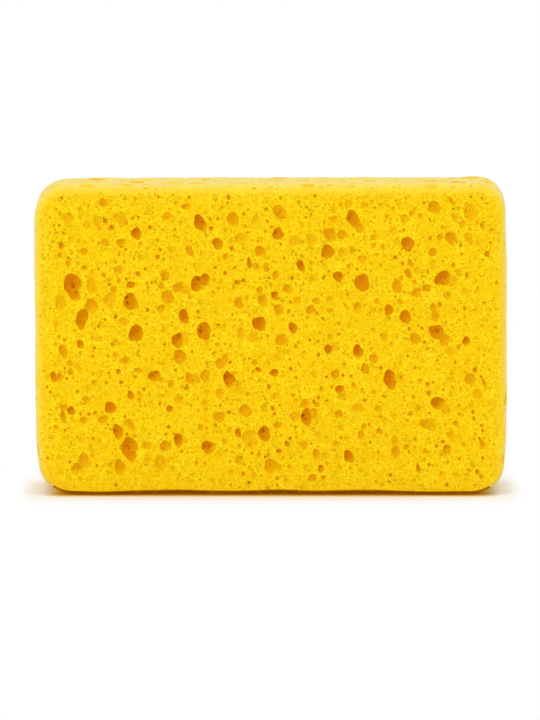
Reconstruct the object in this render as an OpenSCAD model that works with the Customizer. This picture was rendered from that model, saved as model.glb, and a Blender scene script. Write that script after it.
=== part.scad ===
// Cleaning sponge: one block of open-pored foam, die-cut with rounded corners.
// Millimetres. +Z is up, X runs along the length and Y through the thickness.
// The block stands on one long narrow side, with its origin under the middle of that side.

/* [Block] */
// Length, left to right
block_length = 120; // [100:1:150]
// Height, standing on the long narrow side
block_height = 79; // [65:1:100]
// Thickness, from the front face to the back face
block_thickness = 38; // [30:1:50]

/* [Rim] */
// Radius of the four die-cut corners
corner_radius = 8.6; // [6:0.2:14]
// How far the narrow sides draw in where they reach a face
rim_drop = 1.6; // [0.8:0.1:2.4]
// Width of the drawn-in rim on each side, measured through the thickness
rim_width = 8; // [5:0.5:10]
// Radius of the edge between the rim and a face
edge_radius = 1; // [0.6:0.1:1.5]

/* [Pores] */
// Length of one unit of the pore map: larger means coarser foam
pore_unit = 1; // [0.8:0.05:1.3]
// Narrowest wall left between two separate pores
pore_wall = 0.3; // [0.2:0.05:0.6]
// Scattered pores tried on each square centimetre of the front, beside the mapped ones
front_pores_per_cm2 = 2; // [0.5:0.5:4]
// Pores tried on each square centimetre of the back and the narrow sides
plain_pores_per_cm2 = 2.5; // [0.5:0.5:4]
// Opening width of the smallest scattered pore
pore_min = 1.4; // [1:0.1:2]
// Opening width of the largest scattered pore
pore_max = 4.6; // [3:0.1:5.5]
// Foam left free of scattered pores round the middle of the bottom side
foot_clear = 6; // [4:0.5:9]

/* [Hidden] */
$fn = 32;
foam_yellow = [0.98, 0.79, 0.05];

// Depth of a pore as a share of its opening radius, for a shallow, a middling and a deep one
DEPTH_SHARE = [0.55, 0.9, 1.3];
// A mapped pore at least this much longer than wide is two bubbles run together
LONG_PORE = 1.3;

// The pore map of the front face, seen from the front, in units of pore_unit from its middle:
// [across, up, width, height, lean in degrees, depth 0 to 2]. A lean turns the top to the left.
PORE_MAP = [
    // top band
    [-42.3, 35.2, 2.4, 2.2, 0, 1], [-26.2, 31.9, 2.5, 1.9, 0, 1], [-21.3, 34.3, 2.2, 1.7, 0, 1],
    [1.8, 33.4, 2.4, 2.6, 0, 1], [3.1, 32.6, 2.4, 2.8, 0, 1], [20, 35, 2, 2.2, 0, 0],
    [24, 34.6, 2, 1.8, 0, 0], [41.7, 34.1, 3.2, 3.2, 0, 1], [50.9, 33, 3.2, 4.6, 20, 0],
    [-51.3, 31.2, 2.8, 3.2, 0, 0], [-43.8, 30.4, 2, 3.2, 10, 0], [-37.8, 31.2, 2.8, 4.2, 35, 0],
    [-33.9, 27.4, 2.4, 3.3, 15, 2], [-17.7, 30.1, 2.8, 4.4, 20, 2], [-9.3, 31, 3, 3.6, 0, 1],
    [-3.4, 31.3, 2, 2, 0, 0], [2, 27.4, 2.9, 2.8, 0, 2], [15.2, 27.2, 3.2, 3.2, 0, 1],
    [18.2, 27.2, 2.6, 2.3, 0, 1], [21.1, 31.2, 3, 4.2, 25, 2], [22.9, 28.7, 2.2, 2.6, 0, 1],
    [34.1, 31.2, 2, 2.3, 0, 1], [46.9, 31.6, 1.6, 2.6, 25, 0], [48.9, 29.9, 1.8, 2, 0, 1],
    [-41.9, 25.2, 2.2, 2, 0, 0], [-37.7, 25, 2.2, 2.5, 0, 1], [-47.3, 22.9, 1.9, 2, 0, 1],
    [-13.3, 24.8, 2.6, 3, 0, 2], [-7.1, 26.1, 3.6, 2.8, 0, 0], [-2.4, 22.8, 2.8, 2.8, 0, 1],
    [-20.4, 23, 1.7, 3.2, 25, 1], [6.5, 25.6, 3.1, 2.7, 0, 0], [10.6, 25.8, 2.5, 3.4, 10, 0],
    [14.7, 22.8, 3.2, 3.6, 0, 2], [35, 24.8, 3, 3.8, 0, 2], [46.1, 26.1, 2.6, 3.8, 30, 1],
    [50.5, 26.2, 1.9, 3, 25, 0], [41.4, 22.7, 2.2, 2.2, 0, 1],
    // upper middle
    [-38.5, 18.2, 2.2, 2.3, 0, 1], [-26.7, 16.7, 2.2, 3.1, 10, 1], [-5.2, 19.8, 1.2, 2.6, 0, 2],
    [7.8, 19.2, 1.9, 3, 20, 2], [17.4, 16.5, 2.4, 2.8, 0, 2], [23.4, 21, 2.4, 2, 0, 0],
    [35.1, 17.2, 1.3, 2.9, 25, 1], [37.6, 18, 2.2, 1.8, 0, 0], [44, 16, 4.2, 3.6, 0, 2],
    [46.5, 15.2, 3, 2.6, 0, 0], [-50.2, 14.6, 4.6, 4.8, 0, 2], [-49.6, 11.9, 2.8, 3.2, 0, 2],
    [-45.4, 14.3, 2.6, 4.6, 10, 0], [-53.3, 10.1, 2.4, 4.2, -10, 0], [-40.7, 10.5, 3.3, 3.2, 0, 0],
    [-35.4, 14.4, 2.2, 1.8, 0, 2], [-35.4, 10.1, 3.4, 4.2, 0, 2], [-18.3, 14.7, 3.6, 3.8, 0, 2],
    [-16.6, 15.6, 2.8, 3, 0, 2], [-23.4, 13.6, 2.6, 2.5, 0, 1], [-21.3, 13, 2.2, 2.4, 0, 0],
    [-26, 11.2, 3, 3.6, 0, 1], [-2.6, 12.9, 1.6, 2, 0, 1], [-1.9, 10.4, 2.5, 3.1, 0, 1],
    [4.4, 13.3, 2.2, 2.2, 0, 1], [1.2, 11.7, 1.7, 2.2, 0, 2], [7.1, 10.5, 2.1, 2, 0, 0],
    [11.8, 10.3, 2, 1.9, 0, 1], [23.4, 14.9, 3.5, 4.6, 10, 2], [32.3, 13.9, 2.3, 3.6, 15, 1],
    [37.3, 12.4, 2.5, 2.3, 0, 1], [39.9, 13.6, 2, 2, 0, 1], [45, 11.6, 2, 2.3, 0, 0],
    [-45.4, 9, 3.2, 3.6, 0, 1], [-47.8, 5.7, 3, 5, -10, 2], [-37.2, 5, 2.4, 2.2, 0, 0],
    [-27.8, 8.3, 1.7, 2, 0, 1], [-21.9, 6.3, 2.3, 3.8, 5, 2], [-7.9, 9.7, 2.2, 2.9, 5, 1],
    [2.2, 8.1, 2.4, 2.6, 0, 1], [10.4, 8, 2.4, 2.2, 0, 1], [22.3, 8.6, 2.1, 2.5, 0, 1],
    [30.2, 8, 2.2, 2.8, 0, 2], [41.6, 8.5, 1.8, 2.4, 0, 1], [42, 6.4, 2, 2.8, 10, 1],
    // lower middle
    [-2.7, 4.5, 3.3, 3.6, 0, 2], [5.8, 3.4, 2.1, 2.8, 0, 2], [34.4, 6.2, 2.9, 3.2, 0, 2],
    [-34.1, 2, 3.6, 4, 0, 2], [-16.8, 2.6, 3.4, 4.4, 15, 2], [-23.4, 0.2, 2.8, 3.8, -10, 2],
    [-4.3, 1, 3, 2.6, 0, 0], [-52.5, -2.6, 2, 3.8, 15, 1], [-48.2, -0.8, 1.6, 2.3, 0, 2],
    [3, 0.3, 2.9, 3.2, 0, 1], [14.9, -2.1, 2.1, 2.5, 0, 2], [16.7, -1.4, 1.9, 2.4, 0, 0],
    [22.4, -2.6, 2.2, 3.6, 15, 2], [29.2, 1.2, 2.2, 2.6, 0, 0], [36.9, 0.8, 2.7, 2.9, 0, 1],
    [42.3, 2.4, 3.4, 3.8, 0, 2], [44.4, 0.2, 2.7, 3.2, 0, 1], [49.9, 0.1, 2, 2, 0, 2],
    [-36.7, -4.9, 2.1, 2, 0, 1], [-22.9, -4, 3.3, 3.4, 0, 1], [-12.7, -5.8, 2.2, 2.8, 0, 1],
    [-11.3, -4.4, 1.7, 2.2, 0, 1], [26.3, -4.5, 2.3, 2.4, 0, 1], [24.2, -7, 2, 2.6, 15, 1],
    [45.8, -2.6, 2.4, 2.6, 0, 0], [1.1, -8.1, 2.1, 2, 0, 2], [-55, -9.2, 1.6, 2.8, 0, 2],
    [-53.4, -9.4, 1.8, 2.3, 0, 1], [-29.4, -8.9, 2.9, 2.8, 0, 2], [-20.4, -9.5, 2, 3, 10, 1],
    [-16.4, -8.8, 2.6, 2.8, 0, 1], [-10.4, -9.8, 2.7, 4.2, 10, 2], [-8.8, -11.6, 3, 3.4, 0, 0],
    [-12.6, -13.2, 2.3, 2.6, 0, 0], [16.6, -8.5, 2.2, 2.3, 0, 1], [17.7, -12.3, 2.3, 2.1, 0, 2],
    [18.4, -14, 2.2, 2.4, 0, 0], [1.4, -14, 2.2, 1.8, 0, 0], [30.5, -9.8, 3, 4.8, 0, 2],
    [33.1, -9.3, 2.2, 2.6, 0, 0], [50.9, -9.7, 2.8, 2.8, 0, 1], [52.8, -13.5, 2.4, 2.6, 0, 0],
    // bottom band
    [-46.7, -14.9, 1.9, 1.8, 0, 1], [-35.4, -13.8, 1.7, 2.3, 15, 2], [-40.6, -17, 2.6, 3.2, 0, 2],
    [-42.5, -20.1, 2.6, 2.2, 0, 1], [-50.5, -17.8, 2, 2.2, 0, 2], [-52.6, -19.3, 1.4, 3.2, 0, 1],
    [-23.3, -15, 2.2, 1.9, 0, 0], [-25.5, -17.3, 1.7, 1.7, 0, 2], [-6.3, -17.8, 3.2, 3, 0, 1],
    [-13, -19.4, 2.9, 2.9, 0, 1], [9, -15.9, 2.2, 2.2, 0, 1], [9.3, -19.4, 2.6, 4.4, 10, 2],
    [11.1, -18.4, 2.4, 2.6, 0, 1], [6.3, -19.2, 2.6, 2.6, 0, 0], [22.2, -17.3, 3, 2.8, 0, 0],
    [17.6, -18.6, 1.9, 2, 0, 1], [42.7, -15.8, 3.4, 3.2, 0, 2], [44.7, -17.3, 2.6, 2.6, 0, 0],
    [-38.7, -23.1, 2.5, 3.6, 5, 2], [-36, -21, 2, 2.4, 0, 0], [-26.5, -26.9, 3.1, 2.7, 0, 1],
    [-23.3, -25.3, 2.2, 3.5, 0, 2], [-8.1, -23.4, 1.6, 2.2, 15, 2], [-5.2, -24.6, 3.6, 3.8, 0, 0],
    [-1.4, -23.6, 3.1, 3.7, 0, 2], [39.4, -21.3, 2.2, 2.4, 0, 1], [41, -21.3, 2.4, 3.4, 10, 0],
    [46.1, -24, 2.2, 2.3, 0, 0], [45.1, -27.8, 2.4, 2.8, 0, 1], [54, -26.4, 1.4, 2.6, 0, 1],
    [31.9, -25.6, 2, 3, 0, 0], [32, -28.4, 2.1, 3.2, 0, 1], [-35.8, -27, 4.2, 4.4, 0, 2],
    [-35.2, -29.4, 2.8, 2.6, 0, 2], [-31.3, -26.8, 2.3, 2.2, 0, 0], [-47.2, -30.6, 2.6, 4.2, 10, 1],
    [-49.1, -32.6, 3, 2.8, 0, 1], [-27.9, -31, 2.9, 4, 10, 0], [-15.7, -27.1, 3.2, 3.4, 0, 2],
    [-7.9, -30.4, 1.9, 2.5, 0, 1], [11.9, -28.9, 1.8, 2.7, 20, 1], [20.1, -29.5, 2.3, 3.5, 20, 2],
    [-38.2, -32.3, 2.8, 4, 5, 1], [0.2, -31.9, 3, 4, 0, 1], [13, -32.6, 1.6, 2, 0, 2],
    [10.9, -34.9, 2.3, 2, 0, 1], [37.8, -32.6, 1.1, 2.5, 0, 2],
];

// Section of the rim: a wide arc that leaves the narrow side and runs into a small edge arc
rim_radius = (rim_width * rim_width + rim_drop * rim_drop) / (2 * rim_drop);
half_thickness = block_thickness / 2;
half_strip = half_thickness - rim_width;
edge_up = half_thickness - edge_radius;
edge_run = rim_width - edge_radius;
edge_reach = sqrt(pow(rim_radius - edge_radius, 2) - edge_run * edge_run);
edge_out = corner_radius - rim_radius + edge_reach;
join_angle = atan2(edge_run, edge_reach);

// Corner centres of the block, and the flat part of a face
corner_x = block_length / 2 - corner_radius;
corner_y = block_height / 2 - corner_radius;
face_x = block_length / 2 - rim_drop - edge_radius;
face_y = block_height / 2 - rim_drop - edge_radius;

// Way round the narrow sides, from the left end of the bottom side, turning right
long_run = 2 * corner_x;
short_run = 2 * corner_y;
turn_run = corner_radius * PI / 2;
way_round = 2 * (long_run + short_run) + 4 * turn_run;
foot_place = long_run / 2;

// A repeatable number from 0 to 1 for item i of series s
function scatter(i, s) = let (v = sin(i * 127.1 + s * 311.7) * 43758.5453) v - floor(v);

// Opening width of scattered pore i of n: a few large ones first, then ever smaller ones
function width_of(i, n) = (pore_min + (pore_max - pore_min) * pow(1 - i / n, 4)) * pore_unit;

// A bubble is [across, up, opening radius, depth share], and a pore is a list of bubbles. A pore
// that would run into one already kept is left out, so that each stays a clean round opening.
function apart(pore, kept) = len([for (b = pore) for (k = kept)
    if (norm([b[0] - k[0], b[1] - k[1]]) < b[2] + k[2] + pore_wall) 1]) == 0;
function packed(pores, kept = [], i = 0) =
    i == len(pores) ? kept :
    packed(pores, apart(pores[i], kept) ? concat(kept, pores[i]) : kept, i + 1);

// A bubble whose opening lies wholly inside a flat face
function on_face(b) = abs(b[0]) + b[2] < face_x && abs(b[1]) + b[2] < face_y
    && norm([max(abs(b[0]) - corner_x, 0), max(abs(b[1]) - corner_y, 0)]) + b[2]
       < corner_radius - rim_drop - edge_radius;
function all_on_face(pore) = len([for (b = pore) if (!on_face(b)) 1]) == 0;

// The bubbles of a mapped pore: one, or two side by side along its lean if it is a long one
function mapped_pore(p) = let (
        at = pore_unit * [p[0], p[1]],
        share = DEPTH_SHARE[p[5]],
        step = pore_unit * (p[3] - p[2]) / 2 * [-sin(p[4]), cos(p[4])])
    p[3] < LONG_PORE * p[2] ? [[at[0], at[1], pore_unit * sqrt(p[2] * p[3]) / 2, share]] :
    [for (k = [-1, 1])
        [at[0] + k * step[0], at[1] + k * step[1], pore_unit * p[2] / 2, share]];

// Scattered pores tried on a face, largest first
face_area = block_length * block_height / 100;
function face_pores(density, series) = let (n = floor(face_area * density))
    [for (i = [0 : n - 1]) [[
        (2 * scatter(i, series) - 1) * face_x,
        (2 * scatter(i, series + 1) - 1) * face_y,
        width_of(i, n) / 2,
        DEPTH_SHARE[floor(3 * scatter(i, series + 2))]]]];

// Scattered pores tried on the narrow sides, as [way round, through, opening radius, depth share]
side_area = way_round * block_thickness / 100;
function side_pores(density, series) = let (n = floor(side_area * density))
    [for (i = [0 : n - 1]) let (r = width_of(i, n) / 2) [[
        r + scatter(i, series) * (way_round - 2 * r),
        (2 * scatter(i, series + 1) - 1) * (edge_up - edge_radius - r),
        r,
        DEPTH_SHARE[floor(3 * scatter(i, series + 2))]]]];
function clear_of_foot(b) = norm([b[0] - foot_place, b[1]]) > foot_clear + b[2];

front_tried = concat([for (p = PORE_MAP) mapped_pore(p)], face_pores(front_pores_per_cm2, 1));
front_bubbles = packed([for (p = front_tried) if (all_on_face(p)) p]);
back_tried = face_pores(plain_pores_per_cm2, 11);
back_bubbles = packed([for (p = back_tried) if (all_on_face(p)) p]);
side_tried = side_pores(plain_pores_per_cm2, 21);
side_bubbles = packed([for (p = side_tried) if (clear_of_foot(p[0])) p]);

// How far the narrow side has drawn in at a place through the thickness
function drawn_in(up) = let (past = max(abs(up) - half_strip, 0))
    rim_radius - sqrt(rim_radius * rim_radius - past * past);

// What lies outside an arc of radius r about the origin, between two directions
module outside_arc(r, from, to) {
    far = r + rim_width;
    difference() {
        polygon([[0, 0], far * [cos(from), sin(from)],
            far / cos((to - from) / 2) * [cos((from + to) / 2), sin((from + to) / 2)],
            far * [cos(to), sin(to)]]);
        circle(r, $fn = 180);
    }
}

// What the rim loses, as a section: reach out from a corner's axis against place through. The
// wide arc's share runs past the join, so that it overlaps the edge arc's.
module rim_loss() {
    for (side = [0, 1]) mirror([0, side]) {
        translate([corner_radius - rim_radius, half_strip])
            outside_arc(rim_radius, 0, 2 * join_angle);
        translate([edge_out, edge_up])
            outside_arc(edge_radius, join_angle, 90);
    }
}

// Outline of the die that cuts the block
module die_outline() {
    difference() {
        square([block_length, block_height], center = true);
        for (x = [0, 1]) mirror([x, 0]) for (y = [0, 1]) mirror([0, y])
            translate([corner_x, corner_y]) outside_arc(corner_radius, 0, 90);
    }
}

// The plain block, lying on its back with the front face up
module plain_block() {
    difference() {
        linear_extrude(block_thickness, center = true) die_outline();
        for (turn = [0, 1]) rotate(180 * turn) {
            translate([0, -corner_y, 0]) rotate([90, 0, -90])
                linear_extrude(long_run, center = true) rim_loss();
            translate([corner_x, 0, 0]) rotate([90, 0, 0])
                linear_extrude(short_run, center = true) rim_loss();
            translate([corner_x, corner_y, 0]) rotate_extrude(angle = 90, $fn = 128) rim_loss();
            translate([corner_x, -corner_y, 0]) rotate(-90)
                rotate_extrude(angle = 90, $fn = 128) rim_loss();
        }
    }
}

// A round bubble under z = 0, open there with radius a and share * a deep
module bubble(a, share) {
    r = a * (1 + share * share) / (2 * share);
    translate([0, 0, r - share * a]) sphere(r);
}

// Put the children on the narrow sides: way round, then through the thickness, facing out
module on_side(way, up) {
    if (way < long_run)
        translate([way - corner_x, -block_height / 2, up]) rotate([90, 0, 0]) children();
    else if (way < long_run + turn_run)
        side_corner([corner_x, -corner_y], way - long_run, -90, up) children();
    else if (way < long_run + turn_run + short_run)
        translate([block_length / 2, way - long_run - turn_run - corner_y, up])
            rotate([0, 90, 0]) children();
    else if (way < long_run + 2 * turn_run + short_run)
        side_corner([corner_x, corner_y], way - long_run - turn_run - short_run, 0, up) children();
    else if (way < way_round - short_run - turn_run)
        translate([corner_x - (way - long_run - 2 * turn_run - short_run), block_height / 2, up])
            rotate([-90, 0, 0]) children();
    else if (way < way_round - short_run)
        side_corner([-corner_x, corner_y], way - way_round + short_run + turn_run, 90, up)
            children();
    else
        translate([-block_length / 2, way_round - way - corner_y, up])
            rotate([0, -90, 0]) children();
}

// The same on a rounded corner, run mm along its arc from the start angle
module side_corner(centre, run, start, up) {
    translate(centre) rotate(start + run / turn_run * 90)
        translate([corner_radius, 0, up]) rotate([0, 90, 0]) children();
}

module sponge_block() {
    color(foam_yellow)
        translate([0, 0, block_height / 2]) rotate([90, 0, 0]) difference() {
            plain_block();
            for (b = front_bubbles)
                translate([b[0], b[1], half_thickness]) bubble(b[2], b[3]);
            for (b = back_bubbles)
                translate([b[0], b[1], -half_thickness]) rotate([180, 0, 0]) bubble(b[2], b[3]);
            for (b = side_bubbles)
                on_side(b[0], b[1]) translate([0, 0, -drawn_in(b[1])]) bubble(b[2], b[3]);
        }
}

sponge_block();
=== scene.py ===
"""Cleaning sponge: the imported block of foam, dressed with its open pores and its finish.

Sizes are in millimetres in the block's own lying frame, until a mesh is made: x runs along the
length, y up the front face from its middle, and z out of the front face from the block's middle.
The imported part's frame is in metres, with +Z up and the front face towards -Y.
"""

import logging
import math
from dataclasses import dataclass, replace
from enum import Enum, IntEnum
from functools import cached_property
from typing import ClassVar, Iterator, Sequence

import bpy
import numpy as np
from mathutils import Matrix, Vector
from mathutils.geometry import delaunay_2d_cdt


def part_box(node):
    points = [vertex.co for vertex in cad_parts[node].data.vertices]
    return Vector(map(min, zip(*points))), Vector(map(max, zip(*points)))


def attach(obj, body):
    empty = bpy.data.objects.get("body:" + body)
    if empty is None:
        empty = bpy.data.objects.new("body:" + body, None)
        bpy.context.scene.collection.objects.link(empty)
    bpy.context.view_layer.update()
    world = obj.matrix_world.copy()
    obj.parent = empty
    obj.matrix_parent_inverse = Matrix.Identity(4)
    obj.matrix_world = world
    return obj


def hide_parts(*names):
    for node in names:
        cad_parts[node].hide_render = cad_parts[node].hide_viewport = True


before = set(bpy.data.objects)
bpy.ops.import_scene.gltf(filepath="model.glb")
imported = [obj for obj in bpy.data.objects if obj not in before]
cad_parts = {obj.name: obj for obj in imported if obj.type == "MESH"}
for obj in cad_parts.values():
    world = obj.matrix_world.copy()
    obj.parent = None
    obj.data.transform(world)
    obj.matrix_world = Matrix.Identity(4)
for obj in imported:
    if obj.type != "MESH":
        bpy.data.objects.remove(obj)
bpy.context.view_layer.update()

LOG = logging.getLogger("sponge")
NODE = "sponge_block"
MM = 0.001
Row = tuple[float, float, float, float, float, int]
Colour = tuple[float, float, float]

# The pores of the front face, seen from the front, in millimetres from its middle. Each row is
# (across, up, width, height, lean in degrees, depth 0 to 2). A lean turns the top to the left.
PORE_MAP: tuple[Row, ...] = (
    # top band
    (-42.3, 35.2, 2.4, 2.2, 0, 1), (-26.2, 31.9, 2.5, 1.9, 10, 1), (-21.3, 34.3, 2.2, 1.7, 10, 1),
    (1.8, 33.4, 2.4, 2.6, 0, 1), (3.1, 32.6, 2.4, 2.8, 10, 1), (20, 35, 2, 2.2, 0, 0),
    (24, 34.6, 2, 1.8, 0, 0), (41.7, 34.1, 3.2, 3.2, 0, 1), (50.9, 33, 3.2, 4.6, 20, 0),
    (-51.3, 31.2, 2.8, 3.2, 10, 0), (-43.8, 30.4, 2, 3.2, 10, 0), (-37.8, 31.2, 2.8, 4.2, 35, 0),
    (-33.9, 27.4, 2.4, 3.3, 15, 2), (-17.7, 30.1, 2.8, 4.4, 20, 2), (-9.3, 31, 3, 3.6, 15, 1),
    (-3.4, 31.3, 2, 2, 0, 0), (2, 27.4, 2.9, 2.8, 0, 2), (15.2, 27.2, 3.2, 3.2, 0, 1),
    (18.2, 27.2, 2.6, 2.3, 10, 1), (21.1, 31.2, 3, 4.2, 25, 2), (22.9, 28.7, 2.2, 2.6, 10, 1),
    (34.1, 31.2, 2, 2.3, 10, 1), (46.9, 31.6, 1.6, 2.6, 25, 0), (48.9, 29.9, 1.8, 2, 0, 1),
    (-41.9, 25.2, 2.2, 2, 0, 0), (-37.7, 25, 2.2, 2.5, 20, 1), (-47.3, 22.9, 1.9, 2, 20, 1),
    (-13.3, 24.8, 2.6, 3, 15, 2), (-7.1, 26.1, 3.6, 2.8, 10, 0), (-2.4, 22.8, 2.8, 2.8, 0, 1),
    (-20.4, 23, 1.7, 3.2, 25, 1), (6.5, 25.6, 3.1, 2.7, 10, 0), (10.6, 25.8, 2.5, 3.4, 10, 0),
    (14.7, 22.8, 3.2, 3.6, 10, 2), (35, 24.8, 3, 3.8, 10, 2), (46.1, 26.1, 2.6, 3.8, 30, 1),
    (50.5, 26.2, 1.9, 3, 25, 0), (41.4, 22.7, 2.2, 2.2, 0, 1),
    # upper middle
    (-38.5, 18.2, 2.2, 2.3, 0, 1), (-26.7, 16.7, 2.2, 3.1, 10, 1), (-5.2, 19.8, 1.2, 2.6, 10, 2),
    (7.8, 19.2, 1.9, 3, 20, 2), (17.4, 16.5, 2.4, 2.8, 25, 2), (23.4, 21, 2.4, 2, 10, 0),
    (35.1, 17.2, 1.3, 2.9, 25, 1), (37.6, 18, 2.2, 1.8, 10, 0), (44, 16, 4.2, 3.6, 10, 2),
    (46.5, 15.2, 3, 2.6, 10, 0), (-50.2, 14.6, 4.6, 4.8, 15, 2), (-49.6, 11.9, 2.8, 3.2, 10, 2),
    (-45.4, 14.3, 2.6, 4.6, 10, 0), (-53.3, 10.1, 2.4, 4.2, -10, 0), (-40.7, 10.5, 3.3, 3.2, 0, 0),
    (-35.4, 14.4, 2.2, 1.8, 10, 2), (-35.4, 10.1, 3.4, 4.2, 30, 2), (-18.3, 14.7, 3.6, 3.8, 0, 2),
    (-16.6, 15.6, 2.8, 3, 0, 2), (-23.4, 13.6, 2.6, 2.5, 0, 1), (-21.3, 13, 2.2, 2.4, 0, 0),
    (-26, 11.2, 3, 3.6, 15, 1), (-2.6, 12.9, 1.6, 2, 10, 1), (-1.9, 10.4, 2.5, 3.1, 15, 1),
    (4.4, 13.3, 2.2, 2.2, 0, 1), (1.2, 11.7, 1.7, 2.2, 10, 2), (7.1, 10.5, 2.1, 2, 0, 0),
    (11.8, 10.3, 2, 1.9, 0, 1), (23.4, 14.9, 3.5, 4.6, 10, 2), (32.3, 13.9, 2.3, 3.6, 15, 1),
    (37.3, 12.4, 2.5, 2.3, 0, 1), (39.9, 13.6, 2, 2, -20, 1), (45, 11.6, 2, 2.3, 10, 0),
    (-45.4, 9, 3.2, 3.6, 20, 1), (-47.8, 5.7, 3, 5, -10, 2), (-37.2, 5, 2.4, 2.2, 0, 0),
    (-27.8, 8.3, 1.7, 2, 10, 1), (-21.9, 6.3, 2.3, 3.8, 5, 2), (-7.9, 9.7, 2.2, 2.9, 5, 1),
    (2.2, 8.1, 2.4, 2.6, 10, 1), (10.4, 8, 2.4, 2.2, 0, 1), (22.3, 8.6, 2.1, 2.5, 15, 1),
    (30.2, 8, 2.2, 2.8, 10, 2), (41.6, 8.5, 1.8, 2.4, 10, 1), (42, 6.4, 2, 2.8, 10, 1),
    # lower middle
    (-2.7, 4.5, 3.3, 3.6, 0, 2), (5.8, 3.4, 2.1, 2.8, 10, 2), (34.4, 6.2, 2.9, 3.2, 15, 2),
    (-34.1, 2, 3.6, 4, -20, 2), (-16.8, 2.6, 3.4, 4.4, 15, 2), (-23.4, 0.2, 2.8, 3.8, -10, 2),
    (-4.3, 1, 3, 2.6, 10, 0), (-52.5, -2.6, 2, 3.8, 15, 1), (-48.2, -0.8, 1.6, 2.3, 10, 2),
    (3, 0.3, 2.9, 3.2, -25, 1), (14.9, -2.1, 2.1, 2.5, 10, 2), (16.7, -1.4, 1.9, 2.4, 10, 0),
    (22.4, -2.6, 2.2, 3.6, 15, 2), (29.2, 1.2, 2.2, 2.6, 10, 0), (36.9, 0.8, 2.7, 2.9, 0, 1),
    (42.3, 2.4, 3.4, 3.8, 40, 2), (44.4, 0.2, 2.7, 3.2, 10, 1), (49.9, 0.1, 2, 2, 0, 2),
    (-36.7, -4.9, 2.1, 2, 0, 1), (-22.9, -4, 3.3, 3.4, 15, 1), (-12.7, -5.8, 2.2, 2.8, 10, 1),
    (-11.3, -4.4, 1.7, 2.2, 10, 1), (26.3, -4.5, 2.3, 2.4, 25, 1), (24.2, -7, 2, 2.6, 15, 1),
    (45.8, -2.6, 2.4, 2.6, -30, 0), (1.1, -8.1, 2.1, 2, 0, 2), (-55, -9.2, 1.6, 2.8, 10, 2),
    (-53.4, -9.4, 1.8, 2.3, 10, 1), (-29.4, -8.9, 2.9, 2.8, 0, 2), (-20.4, -9.5, 2, 3, 10, 1),
    (-16.4, -8.8, 2.6, 2.8, 0, 1), (-10.4, -9.8, 2.7, 4.2, 10, 2), (-8.8, -11.6, 3, 3.4, 20, 0),
    (-12.6, -13.2, 2.3, 2.6, 10, 0), (16.6, -8.5, 2.2, 2.3, 0, 1), (17.7, -12.3, 2.3, 2.1, 0, 2),
    (18.4, -14, 2.2, 2.4, 0, 0), (1.4, -14, 2.2, 1.8, 10, 0), (30.5, -9.8, 3, 4.8, 10, 2),
    (33.1, -9.3, 2.2, 2.6, 10, 0), (50.9, -9.7, 2.8, 2.8, 0, 1), (52.8, -13.5, 2.4, 2.6, 15, 0),
    # bottom band
    (-46.7, -14.9, 1.9, 1.8, 0, 1), (-35.4, -13.8, 1.7, 2.3, 15, 2), (-40.6, -17, 2.6, 3.2, 35, 2),
    (-42.5, -20.1, 2.6, 2.2, 20, 1), (-50.5, -17.8, 2, 2.2, 20, 2), (-52.6, -19.3, 1.4, 3.2, 10, 1),
    (-23.3, -15, 2.2, 1.9, 10, 0), (-25.5, -17.3, 1.7, 1.7, 0, 2), (-6.3, -17.8, 3.2, 3, 0, 1),
    (-13, -19.4, 2.9, 2.9, 20, 1), (9, -15.9, 2.2, 2.2, 20, 1), (9.3, -19.4, 2.6, 4.4, 10, 2),
    (11.1, -18.4, 2.4, 2.6, 0, 1), (6.3, -19.2, 2.6, 2.6, 0, 0), (22.2, -17.3, 3, 2.8, 0, 0),
    (17.6, -18.6, 1.9, 2, 0, 1), (42.7, -15.8, 3.4, 3.2, 30, 2), (44.7, -17.3, 2.6, 2.6, 0, 0),
    (-38.7, -23.1, 2.5, 3.6, 5, 2), (-36, -21, 2, 2.4, 10, 0), (-26.5, -26.9, 3.1, 2.7, 10, 1),
    (-23.3, -25.3, 2.2, 3.5, 10, 2), (-8.1, -23.4, 1.6, 2.2, 15, 2), (-5.2, -24.6, 3.6, 3.8, 15, 0),
    (-1.4, -23.6, 3.1, 3.7, 10, 2), (39.4, -21.3, 2.2, 2.4, 0, 1), (41, -21.3, 2.4, 3.4, 10, 0),
    (46.1, -24, 2.2, 2.3, 0, 0), (45.1, -27.8, 2.4, 2.8, 10, 1), (54, -26.4, 1.4, 2.6, 10, 1),
    (31.9, -25.6, 2, 3, 10, 0), (32, -28.4, 2.1, 3.2, 10, 1), (-35.8, -27, 4.2, 4.4, 0, 2),
    (-35.2, -29.4, 2.8, 2.6, 0, 2), (-31.3, -26.8, 2.3, 2.2, 0, 0), (-47.2, -30.6, 2.6, 4.2, 10, 1),
    (-49.1, -32.6, 3, 2.8, -20, 1), (-27.9, -31, 2.9, 4, 10, 0), (-15.7, -27.1, 3.2, 3.4, 0, 2),
    (-7.9, -30.4, 1.9, 2.5, 10, 1), (11.9, -28.9, 1.8, 2.7, 20, 1), (20.1, -29.5, 2.3, 3.5, 20, 2),
    (-38.2, -32.3, 2.8, 4, 5, 1), (0.2, -31.9, 3, 4, 10, 1), (13, -32.6, 1.6, 2, 10, 2),
    (10.9, -34.9, 2.3, 2, 10, 1), (37.8, -32.6, 1.1, 2.5, 10, 2),
)

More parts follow.
